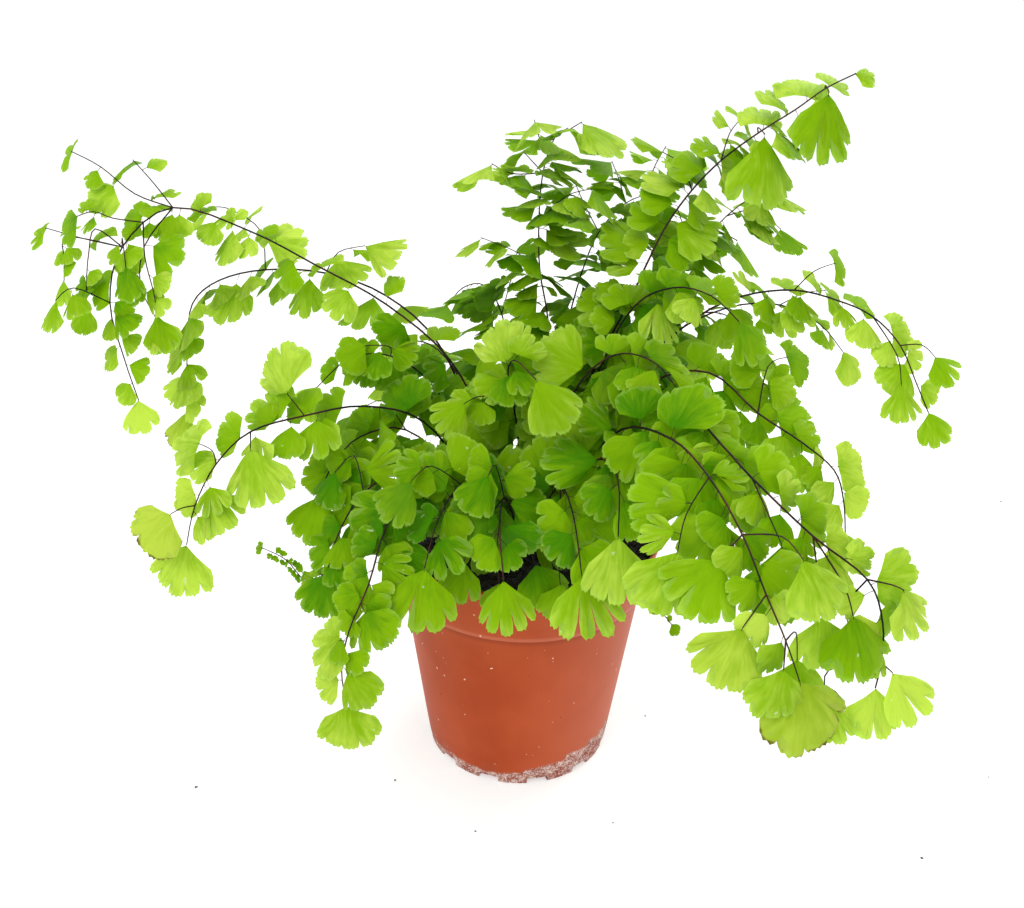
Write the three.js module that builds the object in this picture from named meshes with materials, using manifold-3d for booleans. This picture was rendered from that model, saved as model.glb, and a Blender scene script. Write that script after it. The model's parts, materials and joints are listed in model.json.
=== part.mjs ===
// Potted maidenhair fern: a flared nursery pot, its soil, and one solid for each frond.
// Millimetres, +Z up. The origin is the centre of the pot's underside.
import * as THREE from 'three';
import Module from 'manifold-3d';

const wasm = await Module();
wasm.setup();
const { Manifold } = wasm;

// ---------------------------------------------------------------- pot
const POT_HEIGHT = 108;
const RIM_RADIUS = 60;
const RIM_LIP = 1.6;
const BAND_LOW_Z = 83;
const BAND_LOW_RADIUS = 53.8;
const BODY_TOP_RADIUS = 52.6;
const BASE_RADIUS = 41.7;
const WALL = 1.6;
const FLOOR_TOP = 4.2;
const RECESS_Z = 2.2;
const PAD_RADIUS = 12;
const FOOT_INNER_RADIUS = 36;
const NOTCH_COUNT = 12;
const NOTCH_WIDTH = 9;
const NOTCH_HEIGHT = 2.7;
const NOTCH_PHASE = -107;
const ROUND = 36;

// ---------------------------------------------------------------- soil
const SOIL_GAP = 0.35;
const SOIL_TOP = 98;
const SOIL_BUMP = 1.1;
const SOIL_RINGS = [28];
const HOLE_RADIUS = 1.9;
const HOLE_DEPTH = 12;
const FOOT_DEPTH = 11;

// ---------------------------------------------------------------- fronds
const STIPE_RADIUS = 0.95;
const TIP_RADIUS = 0.62;
const TWIG_RADIUS = 0.66;
const BLADE = 0.7;
const BEND = 1.7;
const TIP_INSET = 0.7;
const SLIVER = 0.05;
const SEED = 41;
const DROOP = 0.4;
const LEVEL_FROM = 190;
const LEVEL_SPAN = 200;

// A frond is [name, foot x and y, leaflets, way points, twigs].
// A twig is [number of the way point it leaves from, leaflets, its own way points, how far
// its leaflets hang if not by the rule].
// Leaflets are [distance to the first one, spacing, size, size of the one at the tip].
const FRONDS = [
  ['left_far', [-11, -2], [82, 12, 14, 13],
    [[-17, -3, 150], [-31, -3, 181], [-56, 0, 202], [-82, -2, 217], [-105, -6, 230],
      [-131, -12, 239], [-150, -16, 225], [-156, -20, 205], [-153, -22, 184], [-149, -24, 168]],
    [[5, [5, 10, 14, 13], [[-139, -22, 227], [-140, -28, 214], [-135, -31, 203]]],
      [5, [8, 12, 14, 11], [[-146, -8, 243], [-158, -6, 252], [-169, -4, 257]]],
      [6, [8, 12, 13, 10], [[-166, -12, 227], [-181, -9, 230]]],
      [7, [6, 11, 13, 12], [[-165, -27, 212], [-171, -30, 208]]]]],
  ['left_second', [-14, 8], [62, 14, 20, 16],
    [[-22, 14, 145], [-38, 22, 180], [-60, 26, 199], [-85, 26, 208], [-110, 25, 209],
      [-130, 25, 204], [-142, 24, 194], [-146, 23, 176], [-148, 22, 158], [-149, 21, 146]],
    [[4, [8, 12, 16, 14], [[-112, 30, 224], [-124, 32, 232], [-132, 32, 233]]],
      [3, [8, 12, 18, 17], [[-78, 20, 218], [-66, 14, 222]]]]],
  ['left_low', [-15, -6], [60, 13, 18, 19],
    [[-24, -13, 135], [-40, -22, 162], [-60, -34, 172], [-79, -48, 173], [-96, -57, 170],
      [-108, -61, 159], [-117, -62, 143], [-122, -62, 127]],
    [[3, [60, 12, 20, 19], [[-84, -50, 182]]],
      [5, [60, 12, 20, 20], [[-108, -63, 165], [-112, -64, 168]]],
      [6, [60, 12, 17, 17], [[-120, -66, 144], [-124, -67, 142]]],
      [4, [60, 12, 20, 20], [[-95, -62, 166]]]]],
  ['left_front', [-11, -15], [44, 12, 18, 17],
    [[-22, -28, 128], [-38, -50, 146], [-47, -70, 142], [-52, -84, 126], [-58, -91, 112],
      [-61, -93, 97], [-60, -93, 82]],
    []],
  ['left_hanging', [-17, -10], [44, 12, 18, 17],
    [[-29, -22, 130], [-45, -40, 148], [-58, -54, 146], [-66, -64, 134], [-70, -68, 120]],
    [[2, [6, 12, 15, 14], [[-62, -48, 158], [-68, -54, 154]]]]],
  ['left_middle', [-19, 0], [40, 13, 20, 17],
    [[-29, -3, 132], [-48, -12, 154], [-63, -30, 158], [-71, -44, 152], [-75, -52, 143]],
    [[1, [8, 13, 17, 16], [[-58, -6, 164], [-68, -10, 160]]]]],
  ['left_inner', [-16, 5], [46, 12, 17, 14],
    [[-25, 6, 142], [-40, 6, 168], [-55, 0, 181], [-70, -8, 182], [-82, -14, 172]],
    [[2, [8, 13, 16, 13], [[-54, -10, 188], [-62, -16, 190]]]]],
  ['front_left', [-7, -15], [36, 13, 22, 21],
    [[-12, -32, 130], [-22, -54, 150], [-29, -72, 146], [-33, -82, 132]],
    [[1, [8, 13, 18, 16], [[-32, -64, 162], [-38, -72, 160]]]]],
  ['front_centre', [-2, -17], [32, 13, 22, 18],
    [[-4, -34, 128], [-7, -56, 147], [-8, -74, 145], [-6, -85, 130]],
    [[1, [8, 13, 17, 15], [[-10, -62, 162], [-12, -70, 162]]]]],
  ['front_right', [4, -15], [34, 13, 22, 22],
    [[8, -32, 130], [13, -56, 152], [17, -76, 150], [20, -87, 134]],
    []],
  ['front_far_right', [10, -12], [42, 13, 22, 22],
    [[17, -26, 134], [26, -50, 160], [31, -74, 164], [31, -88, 150]],
    [[1, [8, 13, 18, 16], [[38, -60, 170], [46, -70, 168]]]]],
  ['right_front', [13, -7], [62, 14, 18, 20],
    [[22, -22, 142], [34, -50, 172], [46, -82, 182], [54, -106, 180], [61, -124, 171],
      [67, -134, 158], [73, -138, 146], [78, -140, 134]],
    [[3, [8, 12, 18, 19], [[47, -114, 172], [44, -122, 164]]],
      [4, [60, 12, 18, 18], [[55, -126, 164]]],
      [5, [60, 12, 17, 18], [[61, -137, 149]], 1.4],
      [6, [60, 12, 16, 17], [[72, -143, 140]], 1.3],
      [4, [8, 12, 18, 17], [[70, -130, 174], [75, -135, 170]]]]],
  ['right_cascade', [17, -2], [74, 13, 17, 15],
    [[29, -12, 142], [43, -36, 172], [54, -64, 184], [61, -90, 183], [66, -108, 181],
      [82, -120, 169], [97, -126, 159], [103, -128, 146], [104, -130, 134], [104, -130, 125]],
    [[4, [60, 12, 21, 22], [[73, -122, 167]]],
      [5, [60, 12, 18, 18], [[90, -128, 158], [93, -131, 150]]],
      [6, [60, 12, 15, 16], [[104, -127, 158], [107, -128, 157]]],
      [8, [60, 12, 15, 16], [[107, -132, 132]]]]],
  ['right_low', [19, 3], [62, 13, 18, 15],
    [[32, -2, 150], [48, -16, 178], [66, -32, 188], [82, -46, 178], [96, -55, 171],
      [107, -60, 163], [111, -63, 153], [113, -65, 141]],
    [[3, [8, 13, 16, 14], [[86, -36, 192], [94, -30, 194]]]]],
  ['right_inner', [14, 4], [56, 13, 19, 16],
    [[22, 2, 150], [31, -4, 186], [40, -14, 208], [52, -24, 217], [64, -31, 216], [74, -35, 208]],
    []],
  ['right_far', [20, 8], [84, 13, 16, 13],
    [[34, 8, 150], [52, 4, 184], [67, 0, 201], [82, -4, 210], [99, -10, 214], [115, -12, 211],
      [128, -15, 206], [139, -18, 196], [147, -20, 182], [153, -22, 171]],
    [[4, [7, 10, 13, 12], [[104, -14, 222], [110, -18, 226]]],
      [7, [7, 10, 14, 12], [[146, -20, 197], [151, -22, 193]]],
      [6, [6, 12, 14, 14], [[136, -24, 194], [138, -28, 184]]]]],
  ['right_back', [20, 13], [72, 14, 17, 15],
    [[36, 18, 150], [58, 22, 184], [82, 24, 198], [104, 24, 200], [122, 25, 192], [134, 26, 180]],
    [[3, [8, 12, 14, 12], [[112, 20, 206], [120, 18, 208]]]]],
  ['top_right', [9, 3], [84, 12, 21, 8],
    [[17, 5, 145], [29, 6, 180], [39, 5, 203], [45, 3, 220], [51, 1, 235], [59, 0, 248],
      [68, -3, 259], [79, -8, 269], [90, -11, 277], [99, -12, 284], [108, -14, 289]],
    [[5, [6, 11, 14, 13], [[56, 8, 256], [49, 14, 260]]],
      [6, [6, 11, 13, 11], [[71, 2, 268], [75, 4, 273]]],
      [9, [60, 30, 21, 22], [[98, -15, 285], [99, -17, 283]], 1.3],
      [7, [60, 30, 24, 24], [[78, -11, 271], [80, -14, 269]], 1.3]]],
  ['top_right_back', [10, 11], [76, 12, 21, 18],
    [[20, 18, 145], [38, 28, 178], [56, 33, 200], [68, 34, 218], [80, 34, 234], [94, 32, 246]],
    [[4, [8, 12, 16, 14], [[92, 38, 236], [105, 42, 228]]],
      [3, [8, 12, 18, 17], [[62, 28, 230], [58, 24, 238]]]]],
  ['top_middle', [0, 7], [70, 9, 22, 21],
    [[3, 11, 145], [8, 17, 172], [8, 20, 192], [4, 23, 212], [3, 26, 231], [4, 28, 250],
      [8, 27, 263], [13, 26, 267]],
    [[4, [6, 10, 15, 14], [[13, 20, 242], [23, 14, 246]]],
      [5, [5, 12, 14, 13], [[-4, 26, 258]]],
      [3, [7, 10, 14, 12], [[-6, 20, 220], [-20, 16, 226]]]]],
  ['top_left', [-5, 12], [58, 10, 21, 18],
    [[-7, 20, 145], [-9, 34, 170], [-12, 44, 188], [-20, 50, 199], [-30, 53, 197],
      [-37, 55, 188]],
    [[2, [8, 11, 15, 13], [[-8, 48, 204], [-6, 50, 214]]]]],
  ['top_middle_back', [4, 13], [78, 11, 23, 20],
    [[9, 24, 150], [16, 36, 182], [22, 43, 206], [29, 47, 224], [40, 50, 236], [51, 52, 240]],
    [[3, [8, 11, 17, 15], [[22, 44, 236], [18, 42, 244]]]]],
  ['right_upper_back', [9, 16], [64, 12, 22, 18],
    [[19, 28, 145], [36, 42, 176], [52, 50, 202], [66, 54, 218], [80, 57, 224], [91, 58, 220]],
    []],
  ['centre_right', [5, -6], [49, 12, 21, 18],
    [[9, -14, 145], [15, -28, 172], [23, -38, 190], [33, -44, 198], [44, -48, 196], [52, -52, 188]],
    []],
  ['centre_front', [-1, -8], [48, 12, 20, 19],
    [[-2, -14, 145], [-5, -26, 172], [-7, -36, 188], [-4, -46, 195], [3, -54, 191]],
    [[1, [8, 12, 16, 14], [[-16, -36, 178], [-22, -44, 178]]]]],
  ['back_left', [-10, 13], [52, 19, 20, 16],
    [[-19, 24, 142], [-37, 46, 166], [-53, 66, 168], [-65, 82, 156], [-72, 92, 140]],
    []],
  ['back_middle', [0, 17], [48, 19, 20, 16],
    [[2, 32, 140], [5, 58, 164], [8, 82, 166], [10, 100, 152], [11, 110, 136]],
    []],
  ['back_right', [12, 20], [56, 19, 20, 16],
    [[22, 34, 142], [42, 58, 170], [60, 78, 176], [76, 93, 166], [86, 102, 150]],
    []],
  ['back_far_right', [17, 16], [64, 18, 19, 16],
    [[30, 26, 145], [54, 42, 174], [78, 54, 188], [98, 61, 182], [112, 64, 168]],
    []],
];

// ---------------------------------------------------------------- small vector helpers
const add = (a, b) => [a[0] + b[0], a[1] + b[1], a[2] + b[2]];
const sub = (a, b) => [a[0] - b[0], a[1] - b[1], a[2] - b[2]];
const mul = (a, k) => [a[0] * k, a[1] * k, a[2] * k];
const dot = (a, b) => a[0] * b[0] + a[1] * b[1] + a[2] * b[2];
const len = (a) => Math.sqrt(dot(a, a));
const unit = (a) => mul(a, 1 / len(a));
const cross = (a, b) => [
  a[1] * b[2] - a[2] * b[1],
  a[2] * b[0] - a[0] * b[2],
  a[0] * b[1] - a[1] * b[0],
];
const turn = (a, axis, angle) => {
  const along = mul(axis, dot(axis, a) * (1 - Math.cos(angle)));
  const side = mul(cross(axis, a), Math.sin(angle));
  return add(add(mul(a, Math.cos(angle)), side), along);
};

// One number from 0 to 1 for each set of whole numbers, the same on every run.
function draw(a, b, c) {
  let h = (SEED + Math.imul(a, 73856093)) ^ (Math.imul(b, 19349663) + Math.imul(c, 83492791));
  h = Math.imul(h ^ (h >>> 16), 2246822507);
  h = Math.imul(h ^ (h >>> 13), 3266489909);
  return ((h ^ (h >>> 16)) >>> 0) / 4294967296;
}

// ---------------------------------------------------------------- paths
// A smooth line through the way points: one extra point in each span that bends enough.
function smooth(points) {
  const out = [points[0]];
  for (let i = 0; i + 1 < points.length; i += 1) {
    const before = points[Math.max(i - 1, 0)];
    const after = points[Math.min(i + 2, points.length - 1)];
    const straight = mul(add(points[i], points[i + 1]), 0.5);
    const bent = sub(mul(straight, 1.125), mul(add(before, after), 0.0625));
    if (len(sub(bent, straight)) > BEND) out.push(bent);
    out.push(points[i + 1]);
  }
  return out;
}

function pathLength(path) {
  let total = 0;
  for (let i = 1; i < path.length; i += 1) total += len(sub(path[i], path[i - 1]));
  return total;
}

// Position and direction at a distance along a path.
function along(path, distance) {
  let left = distance;
  for (let i = 1; i < path.length; i += 1) {
    const step = len(sub(path[i], path[i - 1]));
    if (left <= step || i === path.length - 1) {
      const k = Math.min(left / step, 1);
      const direction = unit(sub(path[i], path[i - 1]));
      return [add(path[i - 1], mul(sub(path[i], path[i - 1]), k)), direction];
    }
    left -= step;
  }
  return null;
}

// Every stem of the plant: the main stem of each frond, then its twigs.
function stems() {
  const list = [];
  FRONDS.forEach(([, foot, leaves, way, twigs], f) => {
    const low = [foot[0], foot[1], SOIL_TOP - FOOT_DEPTH];
    const high = [foot[0], foot[1], SOIL_TOP + 4];
    const main = [low, ...smooth([high, ...way])];
    const ends = { thick: STIPE_RADIUS, thin: TIP_RADIUS, start: STIPE_RADIUS };
    list.push({ frond: f, path: main, leaves, ...ends });
    twigs.forEach(([from, twigLeaves, twigWay, hang = 0]) => {
      const path = smooth([way[from], ...twigWay]);
      const twigEnds = { thick: TWIG_RADIUS, thin: TIP_RADIUS, start: TWIG_RADIUS / 2 };
      list.push({ frond: f, path, leaves: twigLeaves, hang, ...twigEnds });
    });
  });
  return list;
}

// ---------------------------------------------------------------- leaflets
// The edge of a leaflet as [across, along, lift], starting at its root.
// The outer edge runs from one corner to the other in rounded lobes.
function edge(leaf) {
  const { size, spread, skew, lobes, cup, wave, phase } = leaf;
  const points = [[0, 0, 0]];
  const steps = 2 * lobes;
  for (let i = 0; i <= steps; i += 1) {
    const t = 1 - (2 * i) / steps;
    const angle = spread * t + skew * (1 - t * t);
    const end = i === 0 || i === steps;
    const notch = i % 2 === 0;
    const reach = end ? 0.78 : notch ? 0.9 : 1;
    const r = size * reach * (1 + 0.1 * skew * t);
    const lift = size * (-cup * t * t + wave * Math.sin(phase + 3.1 * t));
    points.push([r * Math.sin(angle), r * Math.cos(angle), lift * reach]);
  }
  return points;
}

// The triangles of one face: the root wedge, a fan inside the notches, and one for each lobe.
function faceTriangles(n) {
  const list = [[0, 1, n - 1]];
  for (let j = 3; j < n - 1; j += 2) list.push([1, j, j + 2 < n ? j + 2 : n - 1]);
  for (let j = 2; j < n - 1; j += 2) list.push([j - 1, j, j + 1]);
  return list;
}

// The same edge set in space, grown outwards by a margin and lifted off its own plane.
function placed(leaf, points, margin, lift) {
  const { root, across, out, face, size } = leaf;
  const middle = size * 0.55;
  return points.map(([a, b, c]) => {
    const reach = Math.hypot(a, b - middle);
    const grow = 1 + margin / Math.max(reach, 1);
    const x = mul(across, a * grow);
    const y = mul(out, middle + (b - middle) * grow);
    return add(root, add(add(x, y), mul(face, c + lift)));
  });
}

// How far a leaflet hangs: the high ones lie nearly level, the low ones hang down.
function hanging(p, stem) {
  const rule = 1 - (p[2] - LEVEL_FROM) / LEVEL_SPAN;
  return stem.hang || Math.min(Math.max(rule, 0.5), 1);
}

// The light comes from the front and above, so that is where leaflets mostly face.
function towardsLight(p, hang) {
  const flat = Math.hypot(p[0], p[1]) || 1;
  const forward = Math.min(Math.max((50 - p[1]) / 50, -0.8), 1);
  return [(0.3 * p[0]) / flat, (0.3 * p[1]) / flat - 0.72 * forward * hang, 0.6];
}

// How a leaflet is set on its stem: which way it points and which way it faces.
function pose(stem, at, side, f, k, swing, roll) {
  const [root, direction] = along(stem.path, at);
  const jitter = [draw(f, k, 1) - 0.5, draw(f, k, 2) - 0.5, draw(f, k, 3) - 0.5];
  const hang = hanging(root, stem);
  let face = unit(add(towardsLight(root, hang), mul(jitter, 0.5)));
  const laid = unit(add(sub(direction, mul(face, dot(direction, face))), [0, 0, -0.001]));
  const sideways = unit(cross(face, laid));
  let out = add(mul(laid, Math.cos(swing)), mul(sideways, side * Math.sin(swing)));
  out = unit(add(out, [0, 0, -DROOP * hang]));
  face = unit(sub(face, mul(out, dot(face, out))));
  face = turn(face, out, roll);
  return { root, out, face, across: cross(out, face) };
}

// ---------------------------------------------------------------- keeping leaflets apart
const OFFSETS = [-1.2, 0, 1.2];
const STEM_CLEAR = 1.7;

// Does the piece of line from p to q pass through triangle a, b, c?
function pierces(p, q, a, b, c) {
  const d = sub(q, p);
  const e1 = sub(b, a);
  const e2 = sub(c, a);
  const h = cross(d, e2);
  const det = dot(e1, h);
  if (Math.abs(det) < 1e-9) return false;
  const s = sub(p, a);
  const u = dot(s, h) / det;
  if (u < 0 || u > 1) return false;
  const w = cross(s, e1);
  const v = dot(d, w) / det;
  if (v < 0 || u + v > 1) return false;
  const t = dot(e2, w) / det;
  return t >= 0 && t <= 1;
}

// Do the lines of one sheet of points pass through the triangles of another?
function meets(lines, sheet) {
  const triangles = faceTriangles(sheet.length);
  return lines.some(([p, q]) =>
    triangles.some(([a, b, c]) => pierces(p, q, sheet[a], sheet[b], sheet[c])));
}

function linesOf(sheet) {
  const lines = [];
  faceTriangles(sheet.length).forEach(([a, b, c]) => {
    lines.push([sheet[a], sheet[b]], [sheet[b], sheet[c]], [sheet[c], sheet[a]]);
  });
  return lines;
}

function ball(leaf) {
  return [add(leaf.root, mul(leaf.out, leaf.size * 0.55)), leaf.size * 0.98];
}

function clearOfPot(points) {
  const spots = [];
  points.forEach((p, i) => {
    const q = points[(i + 1) % points.length];
    spots.push(p, mul(add(p, q), 0.5), mul(add(p, points[0]), 0.5));
  });
  return spots.every((p) => {
    if (p[2] > POT_HEIGHT + 2) return true;
    const r = Math.hypot(p[0], p[1]);
    const wall = RIM_RADIUS - (POT_HEIGHT - p[2]) * 0.2;
    if (r > Math.max(wall, BODY_TOP_RADIUS) + 2.5) return true;
    return r < RIM_RADIUS - 9 && p[2] > SOIL_TOP + 4;
  });
}

// Is a leaflet clear of every leaflet already set and of every stem?
function clear(leaf, sheets, lines, leafList, stemLines) {
  const [centre, reach] = ball(leaf);
  for (const other of leafList) {
    const [c2, r2] = other.ball;
    if (len(sub(centre, c2)) < reach + r2 + 1.2) {
      for (let k = 0; k < OFFSETS.length; k += 1) {
        if (meets(lines[k], other.sheet) || meets(other.lines, sheets[k])) return false;
      }
    }
  }
  for (const [p, q, frond] of stemLines) {
    const near = len(sub(centre, mul(add(p, q), 0.5))) < reach + len(sub(p, q)) / 2 + 2;
    const guards = frond === leaf.frond ? [leaf.core] : leaf.shields;
    if (near && guards.some((sheet) => meets([[p, q]], sheet))) return false;
  }
  return true;
}

const SWINGS = [0, 0.3, -0.3, 0.6];
const ROLLS = [0, 0.35, -0.35, 0.7, -0.7];
const SCALES = [1, 0.86, 0.74];

function makeLeaf(stem, at, side, k, base) {
  const f = stem.frond;
  const tip = side === 0;
  const size = base * (tip ? 1.05 : 0.86 + 0.28 * draw(f, k, 4));
  const swing = tip ? 0.25 * (draw(f, k, 5) - 0.5) : 1.0 + 0.3 * draw(f, k, 5);
  const lobes = size < 10 ? 1 : size < 17.5 ? 2 : 3;
  const spread = 0.68 + 0.3 * draw(f, k, 6);
  const skew = tip ? 0 : side * (0.12 + 0.14 * draw(f, k, 7));
  const cup = 0.05 + 0.14 * draw(f, k, 8);
  const wave = 0.035 + 0.03 * draw(f, k, 9);
  const phase = 6.28 * draw(f, k, 10);
  const shape = { frond: f, key: k, lobes, spread, skew, cup, wave, phase, tip };
  return { stem, at, side, size, swing, shape };
}

function settle(plan, leafList, stemLines) {
  const { stem, at, side, size, swing, shape } = plan;
  for (const scale of SCALES) {
    for (const roll of ROLLS) {
      for (const bend of SWINGS) {
        const set = pose(stem, at, side, shape.frond, shape.key, swing + bend, roll);
        const leaf = { ...shape, ...set, size: size * scale };
        const points = edge(leaf);
        const sheets = OFFSETS.map((h) => placed(leaf, points, 0.8, h));
        if (clearOfPot(sheets[1])) {
          leaf.shields = [-STEM_CLEAR, 0, STEM_CLEAR].map((h) => placed(leaf, points, 1.4, h));
          leaf.core = placed(leaf, points, -1.5, 0);
          const lines = sheets.map(linesOf);
          if (clear(leaf, sheets, lines, leafList, stemLines)) {
            leaf.sheet = sheets[1];
            leaf.lines = lines[1];
            leaf.ball = ball(leaf);
            return leaf;
          }
        }
      }
    }
  }
  return null;
}

// Leaflets stand on alternate sides of each stem, and one ends it.
function leaflets(stemList) {
  const stemLines = [];
  stemList.forEach(({ path, frond }) => {
    for (let i = 1; i < path.length; i += 1) stemLines.push([path[i - 1], path[i], frond]);
  });
  const plans = [];
  const counts = FRONDS.map(() => 0);
  stemList.forEach((stem) => {
    const [first, spacing, base, tipSize] = stem.leaves;
    const total = pathLength(stem.path);
    const places = Math.max(Math.floor((total - first - 4) / spacing), 0);
    plans.push(makeLeaf(stem, total - TIP_INSET, 0, counts[stem.frond], tipSize));
    counts[stem.frond] += 1;
    for (let i = places - 1; i >= 0; i -= 1) {
      const k = counts[stem.frond];
      const at = first + spacing * (i + 0.3 * draw(stem.frond, k, 11));
      plans.push(makeLeaf(stem, at, i % 2 ? 1 : -1, k, base * (1.08 - 0.2 * i / places)));
      counts[stem.frond] += 1;
    }
  });
  const leafList = [];
  const atTips = plans.filter((plan) => plan.side === 0);
  const onSides = plans.filter((plan) => plan.side !== 0);
  [...atTips, ...onSides].forEach((plan) => {
    const leaf = settle(plan, leafList, stemLines);
    if (leaf) leafList.push(leaf);
  });
  return leafList;
}

// ---------------------------------------------------------------- solids
function solid(points, faces) {
  const vertProperties = new Float32Array(points.flat());
  const triVerts = new Uint32Array(faces.flat());
  return new Manifold(new wasm.Mesh({ numProp: 3, vertProperties, triVerts }));
}

// A blade is one face and its copy, a thickness apart.
function blade(leaf) {
  const points = edge(leaf);
  const n = points.length;
  const top = placed(leaf, points, 0, BLADE / 2);
  const low = placed(leaf, points, 0, -BLADE / 2);
  const faces = [];
  faceTriangles(n).forEach(([a, b, c]) => {
    faces.push([a, b, c], [n + a, n + c, n + b]);
  });
  for (let i = 0; i < n; i += 1) {
    const j = (i + 1) % n;
    faces.push([i, n + i, n + j], [i, n + j, j]);
  }
  return solid([...top, ...low], faces);
}

// A four-sided rod along a path, thinner towards its tip.
function rod({ path, thick, thin, start: first }) {
  const count = path.length;
  const points = [];
  let side = null;
  path.forEach((p, i) => {
    const ahead = path[Math.min(i + 1, count - 1)];
    const behind = path[Math.max(i - 1, 0)];
    const direction = unit(sub(ahead, behind));
    const start = side || cross(towardsLight(path[count - 1], 1), direction);
    side = unit(sub(start, mul(direction, dot(start, direction))));
    const other = cross(direction, side);
    const radius = i ? thick + ((thin - thick) * i) / (count - 1) : first;
    [0, 1, 2, 3].forEach((k) => {
      const angle = ((2 * k + 1) * Math.PI) / 4;
      const x = mul(side, radius * Math.cos(angle));
      const y = mul(other, radius * Math.sin(angle));
      points.push(add(p, add(x, y)));
    });
  });
  const faces = [[0, 2, 1], [0, 3, 2]];
  for (let i = 0; i + 1 < count; i += 1) {
    for (let k = 0; k < 4; k += 1) {
      const a = 4 * i + k;
      const b = 4 * i + ((k + 1) % 4);
      faces.push([a, b, b + 4], [a, b + 4, a + 4]);
    }
  }
  const e = 4 * (count - 1);
  faces.push([e, e + 1, e + 2], [e, e + 2, e + 3]);
  return solid(points, faces);
}

function pot() {
  const lip = RIM_RADIUS - RIM_LIP;
  const profile = [
    [0, 0], [PAD_RADIUS, 0], [PAD_RADIUS, RECESS_Z], [FOOT_INNER_RADIUS, RECESS_Z],
    [FOOT_INNER_RADIUS + 0.6, 0], [BASE_RADIUS, 0],
    [BODY_TOP_RADIUS, BAND_LOW_Z - 0.5], [BAND_LOW_RADIUS, BAND_LOW_Z],
    [RIM_RADIUS, POT_HEIGHT - 0.6], [RIM_RADIUS - 0.4, POT_HEIGHT], [lip, POT_HEIGHT],
    [BAND_LOW_RADIUS - WALL, BAND_LOW_Z + 0.6],
    [BODY_TOP_RADIUS - WALL, BAND_LOW_Z - 1.4], [BASE_RADIUS - WALL + 0.4, FLOOR_TOP],
    [0, FLOOR_TOP],
  ];
  let body = Manifold.revolve([profile], ROUND);
  for (let i = 0; i < NOTCH_COUNT; i += 1) {
    const box = Manifold.cube([12, NOTCH_WIDTH, 2 * NOTCH_HEIGHT], true);
    const out = box.translate([BASE_RADIUS, 0, 0]);
    body = body.subtract(out.rotate([0, 0, NOTCH_PHASE + (360 / NOTCH_COUNT) * i]));
  }
  return body.asOriginal().simplify(0.01);
}

// Radius of the soil at a height: the inside of the pot less a small gap.
function soilRadius(z) {
  const low = BASE_RADIUS - WALL + 0.4;
  const bodyTop = BAND_LOW_Z - 1.4;
  if (z <= bodyTop) {
    const k = (z - FLOOR_TOP) / (bodyTop - FLOOR_TOP);
    return low + (BODY_TOP_RADIUS - WALL - low) * k - SOIL_GAP;
  }
  const bandLow = BAND_LOW_Z + 0.6;
  const k = Math.max(z - bandLow, 0) / (POT_HEIGHT - bandLow);
  const band = BAND_LOW_RADIUS - WALL;
  const stepped = BODY_TOP_RADIUS - WALL + ((band - BODY_TOP_RADIUS + WALL) * (z - bodyTop)) / 2;
  return (z < bandLow ? stepped : band + (RIM_RADIUS - RIM_LIP - band) * k) - SOIL_GAP;
}

function soil() {
  const points = [];
  const faces = [];
  const base = FLOOR_TOP + SOIL_GAP;
  const levels = [base, BAND_LOW_Z - 1.4, BAND_LOW_Z + 0.6, SOIL_TOP - 1];
  const rings = levels.map((z) => [soilRadius(z), z]);
  [...SOIL_RINGS].reverse().forEach((r) => rings.push([r, null]));
  rings.forEach(([r, z], i) => {
    for (let k = 0; k < ROUND; k += 1) {
      const angle = (k * 2 * Math.PI) / ROUND;
      const bump = SOIL_TOP + SOIL_BUMP * (2 * draw(900 + i, k, 0) - 1);
      points.push([r * Math.cos(angle), r * Math.sin(angle), z ?? bump]);
    }
  });
  for (let i = 0; i + 1 < rings.length; i += 1) {
    for (let k = 0; k < ROUND; k += 1) {
      const a = ROUND * i + k;
      const b = ROUND * i + ((k + 1) % ROUND);
      faces.push([a, b, b + ROUND], [a, b + ROUND, a + ROUND]);
    }
  }
  const last = ROUND * (rings.length - 1);
  const under = points.length;
  points.push([0, 0, base], [0, 0, SOIL_TOP]);
  for (let k = 0; k < ROUND; k += 1) {
    const next = (k + 1) % ROUND;
    faces.push([under, next, k], [under + 1, last + k, last + next]);
  }
  let body = solid(points, faces);
  FRONDS.forEach(([, foot]) => {
    const hole = Manifold.cylinder(HOLE_DEPTH + 8, HOLE_RADIUS, HOLE_RADIUS, 4);
    body = body.subtract(hole.translate([foot[0], foot[1], SOIL_TOP - HOLE_DEPTH]));
  });
  return body.asOriginal().simplify(0.01);
}

// ---------------------------------------------------------------- assembly
const LOOKS = {
  pot: { color: 0xb8542f, roughness: 0.55 },
  soil: { color: 0x1d1512, roughness: 0.95 },
  frond: { color: 0x77b01c, roughness: 0.6 },
};

function toMesh(body, name, look) {
  const data = body.getMesh();
  const geometry = new THREE.BufferGeometry();
  const stride = data.numProp;
  const xyz = new Float32Array((data.vertProperties.length / stride) * 3);
  for (let i = 0; i < xyz.length / 3; i += 1) {
    for (let k = 0; k < 3; k += 1) xyz[3 * i + k] = data.vertProperties[stride * i + k];
  }
  geometry.setAttribute('position', new THREE.BufferAttribute(xyz, 3));
  geometry.setIndex(new THREE.BufferAttribute(new Uint32Array(data.triVerts), 1));
  geometry.computeVertexNormals();
  const mesh = new THREE.Mesh(geometry, new THREE.MeshStandardMaterial(look));
  mesh.name = name;
  return mesh;
}

const group = new THREE.Group();
group.name = 'potted_fern';
group.add(toMesh(pot(), 'pot', LOOKS.pot));
group.add(toMesh(soil(), 'soil', LOOKS.soil));

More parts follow.
